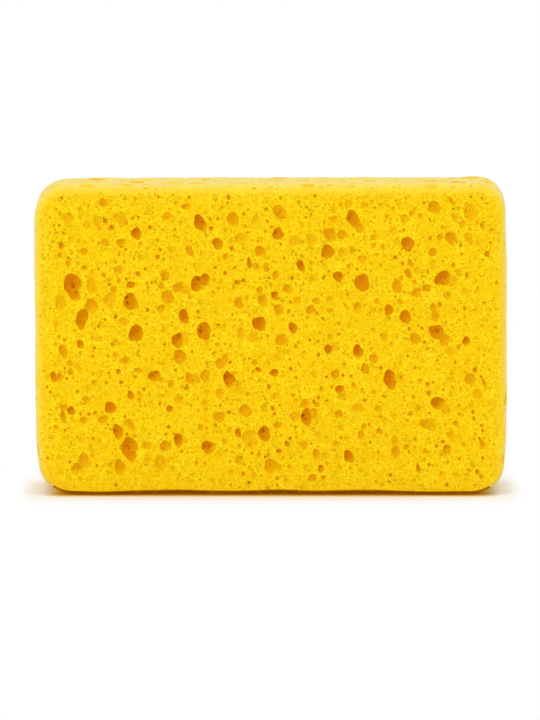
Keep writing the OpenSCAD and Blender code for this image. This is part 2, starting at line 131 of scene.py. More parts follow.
# The smaller pores between them, in the same form.
SMALL_PORES: tuple[Row, ...] = (
    (46, 35.8, 1, 2.8, 40, 1), (16.2, 33.6, 1.6, 1.6, 0, 0), (36, 32.6, 1.5, 1.6, 0, 1),
    (38.2, 32, 1.5, 1.3, 0, 1), (-46.4, 29.6, 1.8, 2, 0, 0), (-41.7, 30.6, 1.3, 1.3, 0, 2),
    (-40.2, 29, 1.4, 1.5, 0, 2), (-6.4, 29.3, 1.5, 1.2, 0, 1), (13.3, 27.8, 1.5, 1.2, 0, 0),
    (16, 31.2, 2.2, 1.7, 0, 0), (53.8, 29.4, 0.9, 1.8, 10, 1), (56, 28, 1.6, 1.4, 0, 0),
    (31.4, 28.2, 1.6, 2, 10, 0), (-53, 24.3, 1.3, 1.9, 0, 2), (-32.8, 24.7, 1.3, 1.6, 0, 1),
    (-2.7, 25.8, 1.7, 1.8, 20, 0), (-24.7, 23.2, 1.9, 2, 0, 0), (-9.7, 23.7, 1.1, 1.2, 0, 2),
    (-5.6, 27.7, 0.8, 0.8, 0, 2), (18.1, 22.4, 1.5, 2.6, 0, 0), (20.8, 23.2, 1.1, 2, -15, 1),
    (24.2, 26.1, 1.5, 1.4, 0, 0), (26.4, 24.5, 1.2, 1.5, 0, 1), (33.6, 23.5, 0.9, 0.9, 0, 2),
    (43.1, 26.5, 1.5, 1.7, 0, 1), (55.2, 22.2, 1.3, 1.7, 20, 2), (-53.5, 21.8, 1.6, 1.4, 0, 0),
    (-51.3, 19.9, 1.3, 1.6, 0, 1), (-48.7, 19.8, 1.1, 1.2, 0, 1), (-33, 21.1, 1.4, 2.2, 10, 0),
    (-42.3, 16.7, 1.3, 1.2, 0, 0), (-11.2, 21.6, 1.8, 1.7, 0, 1), (-3.6, 19.2, 1.7, 1.7, 0, 0),
    (-1, 18.8, 1.6, 2.4, 10, 0), (1.4, 16.9, 1.7, 2, 0, 1), (10.7, 19.9, 1.8, 1.5, 0, 0),
    (35.7, 19.9, 1.3, 2, 20, 1), (31.9, 21.3, 1.2, 1.2, 0, 2), (48, 17.5, 1.8, 1.6, 0, 0),
    (50, 16.7, 0.9, 1.6, 0, 2), (46.6, 19.4, 1, 1.2, 0, 2), (-39.7, 13.2, 1.7, 1.8, 0, 1),
    (-41, 15.6, 1.1, 1, 0, 1), (-38.4, 15.4, 1, 1.3, 0, 1), (-27.6, 13.9, 1.5, 1.6, 0, 0),
    (-8.3, 15, 1.5, 1.3, 0, 2), (-14.4, 12.4, 0.8, 1.3, 0, 1), (10.7, 15.8, 1.7, 1.8, 0, 0),
    (15.2, 10.7, 1.6, 1.5, 0, 1), (27.2, 10.3, 1.5, 1.5, 0, 1), (36.7, 15.1, 1.1, 1.1, 0, 1),
    (49.4, 12.8, 2.2, 1.6, 0, 0), (33.1, 10.1, 1.5, 1.5, 0, 1), (52.8, 13.3, 0.9, 1.2, 0, 1),
    (-54.2, 4.2, 1.6, 1.8, 0, 0), (-17.5, 10, 1.8, 1.8, 0, 0), (-11.5, 4, 1.1, 1.2, 0, 1),
    (12, 7.1, 1, 0.9, 0, 2), (15.3, 7.8, 2, 1.2, 0, 1), (4.8, 7.5, 1.1, 1.4, 0, 2),
    (19.4, 8.9, 0.8, 2, 45, 1), (17.3, 4.4, 1.4, 1.1, 0, 0), (43.1, 9.3, 1.3, 1.5, 0, 1),
    (46.8, 8.2, 1.2, 1.3, 0, 0), (54.3, 5.3, 0.9, 1.6, 0, 0), (44.2, 4.3, 1.2, 1.4, 0, 0),
    (-21.7, 0.8, 2, 3, 0, 0), (-27, 2.8, 1.6, 1.8, 0, 0), (-7.4, 1.8, 1.9, 3.6, 0, 0),
    (-39, -0.3, 1.8, 1.6, 0, 0), (15.3, 1.1, 1.4, 1.4, 0, 1), (7.3, -0.4, 0.8, 1, 0, 2),
    (23.7, 0.2, 1.1, 1.5, 0, 0), (-13.2, -1, 1.3, 1.5, 0, 1), (48, -1.4, 1.3, 1.2, 0, 1),
    (39.9, -1.8, 1.4, 1.4, 0, 0), (53, -2, 1.1, 1.4, 0, 0), (-50.9, -5.7, 1.5, 1.9, 0, 1),
    (-39.3, -3.6, 1.5, 1.4, 0, 1), (-33.5, -7.5, 2.3, 1.2, 0, 1), (-38.5, -7.8, 1.3, 1.5, 0, 2),
    (-50.7, -7.8, 1.4, 1.7, 0, 1), (-48.7, -6.8, 1.4, 2.8, 25, 0), (-43, -8, 1.4, 1.4, 0, 0),
    (-26, -3.7, 1.2, 1.1, 0, 0), (-27.2, -5.8, 1.1, 1.3, 0, 1), (-14.2, -3.2, 1.2, 1.2, 0, 1),
    (-3.9, -5.5, 1.6, 1.6, 0, 1), (-2.9, -7.3, 1.2, 1.8, 60, 2), (2.2, -2.3, 1.5, 1.8, 0, 0),
    (4.8, -2.8, 1.4, 1.4, 0, 0), (8.6, -2.9, 1.2, 1.2, 0, 1), (33.2, -5.8, 0.9, 2, 0, 0),
    (19, -3.1, 1.1, 1.2, 0, 0), (-15.7, -6.7, 1, 1, 0, 1), (-24, -7.4, 0.9, 0.9, 0, 2),
    (-46.1, -11.9, 1.7, 1.8, 0, 0), (-44.6, -10.6, 1.6, 1.3, 0, 1), (-41.6, -10.6, 1.1, 1, 0, 1),
    (-37.8, -10.5, 1.1, 1, 0, 2), (-25.1, -11, 1.7, 1.9, 0, 1), (-21.2, -12, 1.2, 1, 0, 2),
    (-19, -9.7, 2.2, 2.6, 0, 0), (-16.1, -13, 1.4, 1.6, 0, 0), (3.2, -9, 1.2, 1, 0, 0),
    (11.2, -8.2, 1.6, 1.7, 0, 0), (18.6, -8.7, 0.8, 1, 0, 2), (13.1, -12.3, 1.2, 1.8, 0, 1),
    (38.2, -10.1, 1.2, 1.1, 0, 1), (40.2, -11, 1.4, 1.2, 0, 2), (40.4, -13.3, 1.2, 1.5, 0, 2),
    (46.4, -9.7, 1.1, 1.4, 0, 0), (46.2, -13.6, 1.6, 1.5, 0, 0), (54.6, -10.9, 1, 2.8, 20, 1),
    (26.3, -12.9, 1.3, 1.4, 0, 0), (-33.2, -15, 1, 1.4, 0, 1), (-52.4, -16.9, 2.2, 1.5, 0, 1),
    (-47.4, -20.2, 1.8, 1.9, 0, 1), (-28, -15.9, 0.8, 1.2, 0, 2), (-16.6, -15.8, 1.6, 1.8, 0, 0),
    (-12.6, -16.5, 0.9, 0.9, 0, 2), (-1.5, -17, 1.9, 1.9, 0, 0), (6.6, -15.2, 1.6, 1.6, 0, 0),
    (11.2, -15.5, 0.8, 1.4, 0, 2), (12.1, -16.1, 1.2, 1.4, 0, 1), (24.1, -15.1, 1.3, 0.8, 0, 2),
    (27.6, -17.2, 1.8, 1.6, 0, 1), (51.1, -16.5, 1.6, 1.6, 0, 0), (37.6, -17, 1.6, 1.6, 0, 0),
    (48.3, -18.7, 1, 1.2, 0, 1), (-35.4, -21.4, 1.6, 2.1, 10, 1), (-34.3, -24.2, 1.3, 1, 0, 1),
    (-48.2, -25.2, 1, 2, 10, 0), (-43.3, -25.7, 1.2, 1.8, 0, 0), (-24.4, -23.7, 0.8, 0.8, 0, 2),
    (-25.8, -21.9, 1, 0.9, 0, 2), (-17.7, -22.1, 1.5, 1.6, 0, 1), (-14, -21.5, 1.3, 1.4, 0, 0),
    (-4.6, -26.2, 2.6, 3, 0, 0), (-11.5, -25.6, 1.5, 1.4, 0, 1), (1.9, -21.6, 1.9, 1.8, 0, 1),
    (12, -23.7, 1.6, 1.5, 0, 0), (17.8, -22, 1.5, 1.3, 0, 1), (19.5, -24.8, 1.4, 1.4, 0, 0),
    (16.8, -26.3, 1.5, 1.6, 0, 1), (23.2, -23.8, 1.8, 1.8, 0, 1), (23.9, -21.8, 1.3, 1.6, 0, 1),
    (27.8, -23, 1.7, 1.4, 0, 1), (24.3, -26.3, 1.4, 1.5, 0, 0), (47.4, -21.1, 1.3, 1.8, 20, 1),
    (44, -25.7, 1.1, 0.9, 0, 2), (53.9, -21.6, 1.1, 1, 0, 2), (49.2, -26.4, 1, 1.7, 10, 1),
    (34.9, -20.2, 1.1, 1, 0, 1), (-31.4, -30.6, 1.4, 1.8, 0, 0), (-45.2, -29.2, 1.5, 1.6, 0, 0),
    (-53.6, -29.7, 1, 1.6, 0, 0), (-18.6, -31.2, 1, 1.3, 0, 1), (-11, -28, 1.1, 1, 0, 1),
    (2.3, -28.1, 1.4, 1.3, 0, 2), (14.2, -29.2, 1.9, 1.6, 0, 0), (17.2, -29.7, 1.6, 1.6, 0, 0),
    (8.7, -26.7, 1.6, 2.4, 0, 0), (8.2, -29.5, 0.7, 1, 0, 1), (36.9, -27.2, 0.9, 0.9, 0, 1),
    (39.5, -28, 0.9, 1.6, 0, 1), (2.2, -32.3, 1.6, 1.9, 0, 0), (-48.3, -35, 0.9, 0.9, 0, 2),
    (-45.3, -34.7, 1.2, 1.1, 0, 0), (-53.3, -33.3, 1.8, 1.6, 0, 0), (-23, -34.4, 1.2, 1.5, 0, 0),
    (-9.7, -33.5, 1.6, 1.4, 0, 0), (-9.9, -36.8, 0.9, 0.9, 0, 2), (-3.9, -34.1, 1.4, 1.4, 0, 0),
    (-5.2, -32.3, 1, 1, 0, 1), (9.2, -32.1, 1.4, 1.4, 0, 0), (13.6, -34.8, 1.1, 1, 0, 2),
    (4.9, -32.2, 1.2, 1.3, 0, 1), (14.6, -31.3, 1.2, 1.3, 0, 0), (43.8, -34, 1.6, 1.8, 0, 0),
    (54, -34.8, 1.5, 1.4, 0, 1), (51.4, -31.5, 1.2, 2, 0, 0), (47.5, -34.2, 2.2, 1.4, 0, 0),
)


class Depth(Enum):
    """How deep a pore goes as a share of its opening radius, and how much shade is painted in it."""

    SHALLOW = (0.45, 0.36)
    MIDDLING = (0.7, 0.52)
    DEEP = (1.0, 0.82)
    INNER = (1.4, 1.1)

    def __init__(self, share: float, tone: float) -> None:
        """Keeps the two values by name."""
        self.share = share
        self.tone = tone


class Side(Enum):
    """The faces of the block, and the number that marks each in the mesh."""

    FRONT = 0
    BACK = 1
    BOTTOM = 2
    RIGHT = 3
    TOP = 4
    LEFT = 5

    @property
    def is_face(self) -> bool:
        """Whether it is one of the two wide faces."""
        return self in (Side.FRONT, Side.BACK)

    @property
    def out(self) -> np.ndarray:
        """The way out of the block on a narrow side."""
        return np.array([(0, -1), (1, 0), (0, 1), (-1, 0)][self.value - Side.BOTTOM.value], float)


class Draw(IntEnum):
    """The series of random numbers that a bubble is drawn from."""

    WAVE = 60
    SLANT = 70
    TONE = 75
    FADE = 77
    HOLES = 80
    HOLE_TURN = 81
    HOLE_AWAY = 85
    HOLE_SIZE = 90


def scatter(item: float, series: float) -> float:
    """Gives a repeatable number from 0 to 1, for one item of a series of draws."""
    value = math.sin(math.radians(item * 127.1 + series * 311.7)) * 43758.5453
    return value - math.floor(value)


def unevenness(points: np.ndarray) -> np.ndarray:
    """Gives the slow rise and fall of the cut foam at each point.

    Args:
        points: places in millimetres, one in each row.

    Returns:
        How far the surface stands out at each place, in millimetres.
    """
    total = np.zeros(len(points))
    for reach, swell in ((26.0, 0.09), (11.0, 0.06), (5.0, 0.04)):
        for turn in range(4):
            away = np.array([math.cos(turn * 2.4 + reach), math.sin(turn * 2.4 + reach),
                             math.cos(turn * 4.1 - reach)])
            total += swell / 2 * np.sin(points @ away * 2 * math.pi / reach + turn * 1.7)
    return total


def swell_round(values: np.ndarray, middle: float, width: float) -> np.ndarray:
    """Gives a smooth swelling: 1 at its middle, and mostly gone a width away from it."""
    return np.exp(-((values - middle) / width) ** 2)


@dataclass(frozen=True)
class BlockShape:
    """The plain block: a die-cut outline with rounded corners and a drawn-in rim.

    Attributes:
        length, height, thickness: the whole block.
        corner_radius: radius of the four corners of the outline.
        rim_drop: how far the narrow sides draw in where they reach a face.
        rim_width: width of the drawn-in rim, through the thickness.
        edge_radius: radius of the edge between the rim and a face.
        foot_notch: how far the middle of the bottom front edge is nicked.
        notch_middle, notch_width: where that nick lies along the block, and how wide it is.
        notch_ripple: how far the edge beside it ripples, as a share of the nick.
        ripple_length: length over which the ripple turns by one radian.
        notch_start: how far down the bottom front edge starts, as a share of half the height.
        foot_drop: how far the bottom side draws in, where the block has stood.
        foot_edge_radius: radius of the edge between the bottom rim and a face.
        foot_spread: how far the lower corners spread where they meet the ground.
        spread_band: the height at which they do, and half the band's width.
        foot_waist: how far they go in again above that.
        waist_band: the height at which they do, and half the band's width.
        end_start: how far before the corners the spread and the waist start.
        end_run: how far along the block they then take to come in whole.
        right_swell: how far the right side bulges.
        swell_middle: how high it bulges most, as a share of half the height.
        left_draw: how far the lower half of the left side has gone in.
        draw_top: how high that reaches, as a share of half the height.
        corner_pushes: how far the corners stand out of true, from the lower right one round.
        push_reach: how far a push reaches, as shares of half the length and half the height.
        top_tilt: how far the top rises at its right end, and falls at its left one.
        pale_reach: how far in the painted sheen of the rim reaches, as a share of a face's own inset.
        pale_fall: how quickly its paleness falls off, as a power.
        pale_turn: over how far its paleness goes where a corner turns under the block.
        down: how squarely the surface that rests on the ground faces down, at least.
        cell: spacing of the mesh on the faces.
        row_height: spacing of its rows, in spacings of the mesh.
        face_margin: least distance from a face's inner points to its edge, in spacings.
        strip_rows: rows of the mesh across the flat strip of a narrow side.
        corner_steps: steps of the mesh round a corner of the outline.
    """

    length: float
    height: float
    thickness: float
    corner_radius: float = 8.6
    rim_drop: float = 1.6
    rim_width: float = 8.0
    edge_radius: float = 1.0
    foot_notch: float = 0.4
    notch_middle: float = 1.5
    notch_width: float = 5.0
    notch_ripple: float = 0.35
    ripple_length: float = 7.0
    notch_start: float = 0.9
    foot_drop: float = 1.35
    foot_edge_radius: float = 0.3
    foot_spread: float = 0.25
    spread_band: tuple[float, float] = (3.8, 1.5)
    foot_waist: float = 0.35
    waist_band: tuple[float, float] = (8.5, 3.5)
    end_start: float = 3.0
    end_run: float = 8.0
    right_swell: float = 0.42
    swell_middle: float = -0.2
    left_draw: float = 0.45
    draw_top: float = 0.25
    corner_pushes: tuple[float, float, float, float] = (0.0, 1.2, 0.35, -0.55)
    push_reach: tuple[float, float] = (0.11, 0.17)
    top_tilt: float = 0.2
    pale_reach: float = 1.15
    pale_fall: float = 1.4
    pale_turn: float = 0.5
    down: float = 0.9
    cell: float = 3.0
    row_height: float = 0.866
    face_margin: float = 0.7
    strip_rows: int = 7
    corner_steps: int = 8

    @classmethod
    def of_node(cls, node: str) -> "BlockShape":
        """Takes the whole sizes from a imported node's box.

        Args:
            node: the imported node's name.

        Returns:
            The block's shape.
        """
        low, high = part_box(node)
        size = (Vector(high) - Vector(low)) / MM
        return cls(length=size.x, height=size.z, thickness=size.y)

    @cached_property
    def half_thickness(self) -> float:
        """Distance from the middle to a face."""
        return self.thickness / 2

    @cached_property
    def half_strip(self) -> float:
        """Half the flat strip in the middle of each narrow side."""
        return self.half_thickness - self.rim_width

    @cached_property
    def rim_radius(self) -> float:
        """Radius of the wide arc of the rim."""
        return (self.rim_width ** 2 + self.rim_drop ** 2) / (2 * self.rim_drop)

    @cached_property
    def corner(self) -> np.ndarray:
        """Centre of the upper right corner of the outline."""
        return np.array([self.length, self.height]) / 2 - self.corner_radius

    @cached_property
    def runs(self) -> tuple[float, float, float]:
        """Lengths of a long straight, a short straight and a corner of the outline."""
        return 2 * self.corner[0], 2 * self.corner[1], self.corner_radius * math.pi / 2

    @cached_property
    def way_round(self) -> float:
        """Length of the whole outline."""
        long_run, short_run, turn_run = self.runs
        return 2 * (long_run + short_run) + 4 * turn_run

    @cached_property
    def face_inset(self) -> float:
        """How far a face's own edge lies inside the outline."""
        return self.section(0)[-1][0]

    def section(self, worn: float) -> list[tuple[float, float, float]]:
        """Gives the rim from the strip to the front face.

        Args:
            worn: 0 for the plain rim, up to 1 for the rim that the block has stood on.

        Returns:
            Its places, as (inset, through, lean of the surface).
        """
        edge = self.edge_radius + (self.foot_edge_radius - self.edge_radius) * worn
        drop = self.rim_drop + (self.foot_drop - self.rim_drop) * worn
        wide = (self.rim_width ** 2 + drop ** 2) / (2 * drop)
        reach = math.sqrt((wide - edge) ** 2 - (self.rim_width - edge) ** 2)
        join = math.atan2(self.rim_width - edge, reach)
        places = []
        for lean in np.linspace(0, join, 4):
            places.append((wide * (1 - math.cos(lean)), self.half_strip + wide * math.sin(lean),
                           lean))
        for lean in np.linspace(join, math.pi / 2, 5)[1:]:
            places.append((wide - reach - edge * math.cos(lean),
                           self.half_thickness - edge * (1 - math.sin(lean)), lean))
        return places

    def outline(self, way: float) -> tuple[np.ndarray, np.ndarray, Side]:
        """Finds a place on the outline.

        Args:
            way: the way round, from the left end of the bottom straight, turning right.

        Returns:
            The place, the direction out of the block there, and the narrow side it lies on.
        """
        long_run, short_run, turn_run = self.runs
        way %= self.way_round
        for side, straight in ((Side.BOTTOM, long_run), (Side.RIGHT, short_run),
                               (Side.TOP, long_run), (Side.LEFT, short_run)):
            if way < straight + turn_run:
                break
            way -= straight + turn_run
        out = side.out
        along = np.array([-out[1], out[0]])
        start = self.corner * (out - along) + out * self.corner_radius
        if way <= straight:
            return start + along * way, out, side
        angle = (way - straight) / self.corner_radius
        turned = out * math.cos(angle) + along * math.sin(angle)
        return self.corner * (out + along) + turned * self.corner_radius, turned, side

    def drawn_in(self, through: float) -> tuple[float, float]:
        """Finds a place across a narrow side.

        Args:
            through: how far it lies from the middle of the thickness.

        Returns:
            How far the side has drawn in there, and how far it leans.
        """
        past = max(abs(through) - self.half_strip, 0)
        lean = math.asin(min(past / self.rim_radius, 1))
        return self.rim_radius * (1 - math.cos(lean)), math.copysign(lean, through)

    def inside(self, points: np.ndarray) -> np.ndarray:
        """Measures how far inside the outline points lie.

        Args:
            points: places in millimetres, one in each row.

        Returns:
            The distance of each place from the outline, in millimetres, and under 0 outside.
        """
        beyond = np.abs(points[:, :2]) - self.corner
        return (self.corner_radius - np.linalg.norm(np.maximum(beyond, 0), axis=1)
                - np.minimum(beyond.max(axis=1), 0))

    def under_surface(self, points: np.ndarray) -> np.ndarray:
        """Measures how far points lie under the plain block's surface.

        Args:
            points: places in millimetres, one in each row.

        Returns:
            The depth of each place, in millimetres, and 0 outside.
        """
        past = np.maximum(np.abs(points[:, 2]) - self.half_strip, 0)
        drawn = self.rim_radius - np.sqrt(np.maximum(self.rim_radius ** 2 - past ** 2, 0))
        from_face = self.half_thickness - np.abs(points[:, 2])
        return np.maximum(np.minimum(self.inside(points) - drawn, from_face), 0)

    def settled(self, points: np.ndarray) -> np.ndarray:
        """Gives how far the soft block has settled out of true.

        Args:
            points: places in millimetres, one in each row.

        Returns:
            The shift across and up of each place, in millimetres.
        """
        across = points[:, 0] / self.length * 2
        up = points[:, 1] / self.height * 2
        right, left = np.clip([across, -across], 0, 1) ** 4
        shift = np.stack([
            self.right_swell * right * np.cos(np.clip(up - self.swell_middle, -1, 1) * math.pi / 2)
            + self.left_draw * left * np.clip(self.draw_top - up, 0, 1),
            self.top_tilt * across * np.clip(up, 0, 1) ** 2,
        ], axis=1)
        wide, high = self.push_reach
        for (x, y), push in zip(((1, -1), (1, 1), (-1, 1), (-1, -1)), self.corner_pushes):
            near = push * np.exp(-((across - x) / wide) ** 2 - ((up - y) / high) ** 2)
            shift += near[:, None] * (np.array([x, y]) * math.sqrt(0.5))
        shift[:, 0] += np.sign(points[:, 0]) * self.spread(points)
        in_front = points[:, 2] > self.half_strip + self.rim_width / 2
        low_edge = (up < -self.notch_start) & in_front
        nick = (swell_round(points[:, 0], self.notch_middle, self.notch_width)
                - self.notch_ripple * np.cos(points[:, 0] / self.ripple_length))
        shift[:, 1] += self.foot_notch * low_edge * nick
        return shift

    def spread(self, points: np.ndarray) -> np.ndarray:
        """Gives how far the ends of the block spread over the ground.

        Args:
            points: places in millimetres, one in each row.

        Returns:
            How far each place has moved towards its end, in millimetres.
        """
        rise = points[:, 1] + self.height / 2
        past = np.abs(points[:, 0]) - self.corner[0] + self.end_start
        at_end = np.clip(past / self.end_run, 0, 1) ** 2
        return at_end * (self.foot_spread * swell_round(rise, *self.spread_band)
                         - self.foot_waist * swell_round(rise, *self.waist_band))

    def rim_share(self, points: np.ndarray) -> np.ndarray:
        """Measures how far round the rim points lie, apart from the side it stands on, for the
        painted sheen.

        Args:
            points: places in millimetres, one in each row.

        Returns:
            A share for each place, from 0 on the faces and below to 1 on the other sides.
        """
        beyond = np.abs(points[:, :2]) - self.corner
        beside = np.maximum(beyond[:, 0], 0) + self.pale_turn
        below = np.maximum(-points[:, 1] - self.corner[1], 0)
        round_rim = 1 - self.inside(points) / (self.pale_reach * self.face_inset)
        turned = np.clip(round_rim, 0, 1) ** self.pale_fall
        return turned * beside / (beside + below)

    def way_of(self, points: np.ndarray, side: Side) -> np.ndarray:
        """Measures how far along a narrow side points lie.

        Args:
            points: places in millimetres, one in each row.
            side: the narrow side.

        Returns:
            The way of each place from where the side's straight starts, in millimetres.
        """
        out = side.out
        along = np.array([-out[1], out[0]])
        straight = self.runs[(side.value - Side.BOTTOM.value) % 2]
        run = points[:, :2] @ along + straight / 2
        rise = points[:, :2] @ out - self.corner @ np.abs(out)
        angle = np.arctan2(run - straight, np.maximum(rise, 0.1))
        return np.where(run <= straight, run, straight + angle * self.corner_radius)

    def mesh_parts(self) -> tuple[np.ndarray, list[list[int]], list[int]]:
        """Builds the plain block.

        Returns:
            Its points, its faces, and the side that each face belongs to.
        """
        ways = self.ways()
        count = len(ways)
        rows = list(zip(*(self.column(way) for way in ways)))
        points = [point for row in rows for point, _ in row]
        normals = [normal for row in rows for _, normal in row]
        faces, sides = [], []
        for lower in range(0, (len(rows) - 1) * count, count):
            upper = lower + count
            for k, way in enumerate(ways):
                after = (k + 1) % count
                faces.append([lower + k, lower + after, upper + after, upper + k])
                sides.append(self.outline(way)[2].value)
        for side, first, facing in ((Side.BACK, 0, -1), (Side.FRONT, len(points) - count, 1)):
            inner, cap = self.cap(points, range(first, first + count), facing)
            points += inner
            normals += [[0, 0, facing]] * len(inner)
            faces += cap
            sides += [side.value] * len(cap)
        return self.softened(np.array(points), np.array(normals)), faces, sides

    def ways(self) -> list[float]:
        """Spreads the mesh's columns round the block.

        Returns:
            The way round the outline of each.
        """
        long_run, short_run, turn_run = self.runs
        ways: list[float] = []
        start = 0.0
        for straight in (long_run, short_run, long_run, short_run):
            steps = round(straight / self.cell)
            ways += [start + straight * k / steps for k in range(steps)]
            ways += [start + straight + turn_run * k / self.corner_steps
                     for k in range(self.corner_steps)]
            start += straight + turn_run
        return ways

    def column(self, way: float) -> list[tuple[list[float], list[float]]]:
        """Gives one column of the narrow sides' mesh, from the back face to the front one.

        Args:
            way: its way round the outline.

        Returns:
            Its points, each with the direction out of the block there.
        """
        place, out, _ = self.outline(way)
        rim = self.section(max(-out[1], 0) ** 2)
        strip = np.linspace(-self.half_strip, self.half_strip, self.strip_rows + 1)[1:-1]
        whole = ([(inset, -through, -lean) for inset, through, lean in reversed(rim)]
                 + [(0.0, through, 0.0) for through in strip] + rim)
        return [([*(place - out * inset), through], [*(out * math.cos(lean)), math.sin(lean)])
                for inset, through, lean in whole]

    def cap(self, points: Sequence[Sequence[float]], rim: range,
            facing: int) -> tuple[list[list[float]], list[list[int]]]:
        """Closes a face of the block.

        Args:
            points: the points so far.
            rim: the numbers of those round the face.
            facing: 1 for the front face, and -1 for the back one.

        Returns:
            The points to add inside it, and its faces.
        """
        loop = [Vector(points[k][:2]) for k in rim]
        inner = [Vector(place) for place in self.face_grid()]
        found = delaunay_2d_cdt(loop + inner, [], [list(range(len(rim)))], 1, 1e-5)
        placed, _, corners, origins = found[:4]
        added: list[list[float]] = []
        numbers = []
        for place, origin in zip(placed, origins):
            if origin and origin[0] < len(rim):
                numbers.append(rim[origin[0]])
            else:
                numbers.append(len(points) + len(added))
                added.append([place.x, place.y, facing * self.half_thickness])
        return added, [[numbers[k] for k in face[::facing]] for face in corners]

    def face_grid(self) -> Iterator[tuple[float, float]]:
        """Gives the inner points of a face, in staggered rows.

        Yields:
            The place of each, across and up.
        """
        inset = self.face_inset + self.cell * self.face_margin
        reach = np.array([self.length, self.height]) / 2 - inset
        most = math.ceil(self.length / 2 / self.cell)
        for row in range(-most, most + 1):
            for column in range(-most, most + 1):
                place = np.array([column + 0.5 * (row % 2), row * self.row_height]) * self.cell
                beyond = np.linalg.norm(np.maximum(np.abs(place) - self.corner, 0))
                if (np.abs(place) < reach).all() and beyond < self.corner_radius - inset:
                    yield float(place[0]), float(place[1])

    def softened(self, places: np.ndarray, directions: np.ndarray) -> np.ndarray:
        """Lets the plain block settle and its surface rise and fall, but stay on the ground.

        Args:
            places: its points in millimetres, one in each row.
            directions: the direction out of the block at each.

        Returns:
            The points where they end up.
        """
        lift = unevenness(places)
        places[:, :2] += self.settled(places)
        under_strip = np.abs(places[:, 2]) < self.half_strip + 0.1
        resting = (directions[:, 1] < -self.down) & under_strip
        lift[resting] = np.minimum(lift[resting], 0)
        places += directions * lift[:, None]
        places[:, 1] = np.maximum(places[:, 1], -self.height / 2)
        return places


@dataclass(frozen=True, eq=False)
class Bubble:
    """One gas bubble that the cut has opened.

    Attributes:
        centre: the middle of its opening, on the surface.
        right, up, out: the directions of the surface there.
        half_width, half_height: half its opening, across and along its lean.
        lean: how far its top turns to the left, in degrees.
        depth: how deep it is.
        number: what its random shape is drawn from.
        side: the face of the block that it opens in.
        head: how far the cutter reaches out of the surface.
        STEPS: for each least radius, the points round a bubble and the rings down it.
        WAVES: for each wave round the opening, how far it swings, as a share of the radius.
        LIP: how high over the surface the cutter goes on widening.
        MOST_FLARE: how far it widens there, at most.
        SPREAD: how far the uneven cutter may reach, in halves of its widest opening.
    """

    centre: np.ndarray
    right: np.ndarray
    up: np.ndarray
    out: np.ndarray
    half_width: float
    half_height: float
    lean: float
    depth: Depth
    number: int
    side: Side
    head: float = 1.0

    STEPS: ClassVar = ((1.5, 22, 4), (0.85, 15, 3), (0.6, 11, 2), (0.0, 7, 2))
    WAVES: ClassVar = ((2, 0.06), (3, 0.07), (4, 0.04), (5, 0.03), (7, 0.025), (9, 0.02))
    LIP: ClassVar = 0.15
    MOST_FLARE: ClassVar = 0.3
    SPREAD: ClassVar = 1.3

    @cached_property
    def radius(self) -> float:
        """Mean radius of the opening."""
        return math.sqrt(self.half_width * self.half_height)

    @cached_property
    def reach(self) -> float:
        """Radius of a ball round the centre that holds the whole cutter near the surface."""
        widest = max(self.half_width, self.half_height, self.depth.share * self.radius)
        return widest * self.SPREAD + 0.1

    @cached_property
    def tone(self) -> float:
        """How far its walls take on painted shade, in the deep colour of light between walls of foam.
        """
        size = 0.65 + 0.35 * min(self.radius, 1.0)
        return self.depth.tone * size * (0.85 + 0.3 * self.draw(Draw.TONE))

    @cached_property
    def fade(self) -> np.ndarray:
        """The way in which its rim grows crisper, for each millimetre from its centre."""
        turn = 2 * math.pi * self.draw(Draw.FADE)
        return (self.right * math.cos(turn) + self.up * math.sin(turn)) / self.radius

    def draw(self, series: float) -> float:
        """Draws one of its random numbers."""
        return scatter(self.number, series)

    def opening(self, around: int) -> np.ndarray:
        """Gives the uneven outline of its opening.

        Args:
            around: how many points it has.

        Returns:
            Its points, across and up from the centre.
        """
        turn = np.arange(around) * 2 * math.pi / around
        wobble = np.ones(around)
        for wave, swing in self.WAVES:
            wobble += swing * np.cos(wave * turn + 2 * math.pi * self.draw(Draw.WAVE + wave))
        tilt = math.radians(self.lean)
        across, along = np.cos(turn) * self.half_width, np.sin(turn) * self.half_height
        return np.stack([across * math.cos(tilt) - along * math.sin(tilt),
                         across * math.sin(tilt) + along * math.cos(tilt)], 1) * wobble[:, None]

    def levels(self, rings: int) -> list[tuple[float, float]]:
        """Gives the levels of its cutter, from above the surface to near its bottom.

        Args:
            rings: how many of them lie at the surface and below.

        Returns:
            The width of each, as a share of the opening, and its height over the surface.
        """
        rim = 2 * math.atan(self.depth.share)
        flare = min(self.LIP / math.tan(rim), self.MOST_FLARE)
        levels = [(1 + flare / self.radius, height) for height in (self.head, self.LIP)]
        for k in range(rings):
            polar = rim * (1 - k / rings)
            levels.append((math.sin(polar) / math.sin(rim),
                           -self.depth.share * self.radius * (math.cos(polar) - math.cos(rim))
                           / (1 - math.cos(rim))))
        return levels

    def mesh_parts(self) -> tuple[np.ndarray, list[list[int]]]:
        """Builds the closed form that cuts the bubble out of the foam.

        Returns:
            Its points and its faces.
        """
        around, rings = next((n, k) for least, n, k in self.STEPS if self.radius >= least)
        ring, levels = self.opening(around), self.levels(rings)
        slant = np.array([-1, 0.8]) * (0.1 + 0.3 * self.draw(Draw.SLANT))
        bottom = -self.depth.share * self.radius
        local = [np.array([[0, 0, self.head]])]
        local += [np.column_stack([ring * grow + slant * max(-height, 0),
                                   np.full(around, height)]) for grow, height in levels]
        local.append(np.array([[*(slant * -bottom), bottom]]))
        stacked = np.concatenate(local)
        faces = []
        for k in range(around):
            after = (k + 1) % around
            faces.append([0, 1 + k, 1 + after])
            for row in range(len(levels) - 1):
                upper, lower = 1 + row * around, 1 + (row + 1) * around
                faces.append([upper + k, lower + k, lower + after, upper + after])
            last = 1 + (len(levels) - 1) * around
            faces.append([last + k, len(stacked) - 1, last + after])
        return self.centre + stacked @ np.stack([self.right, self.up, self.out]), faces


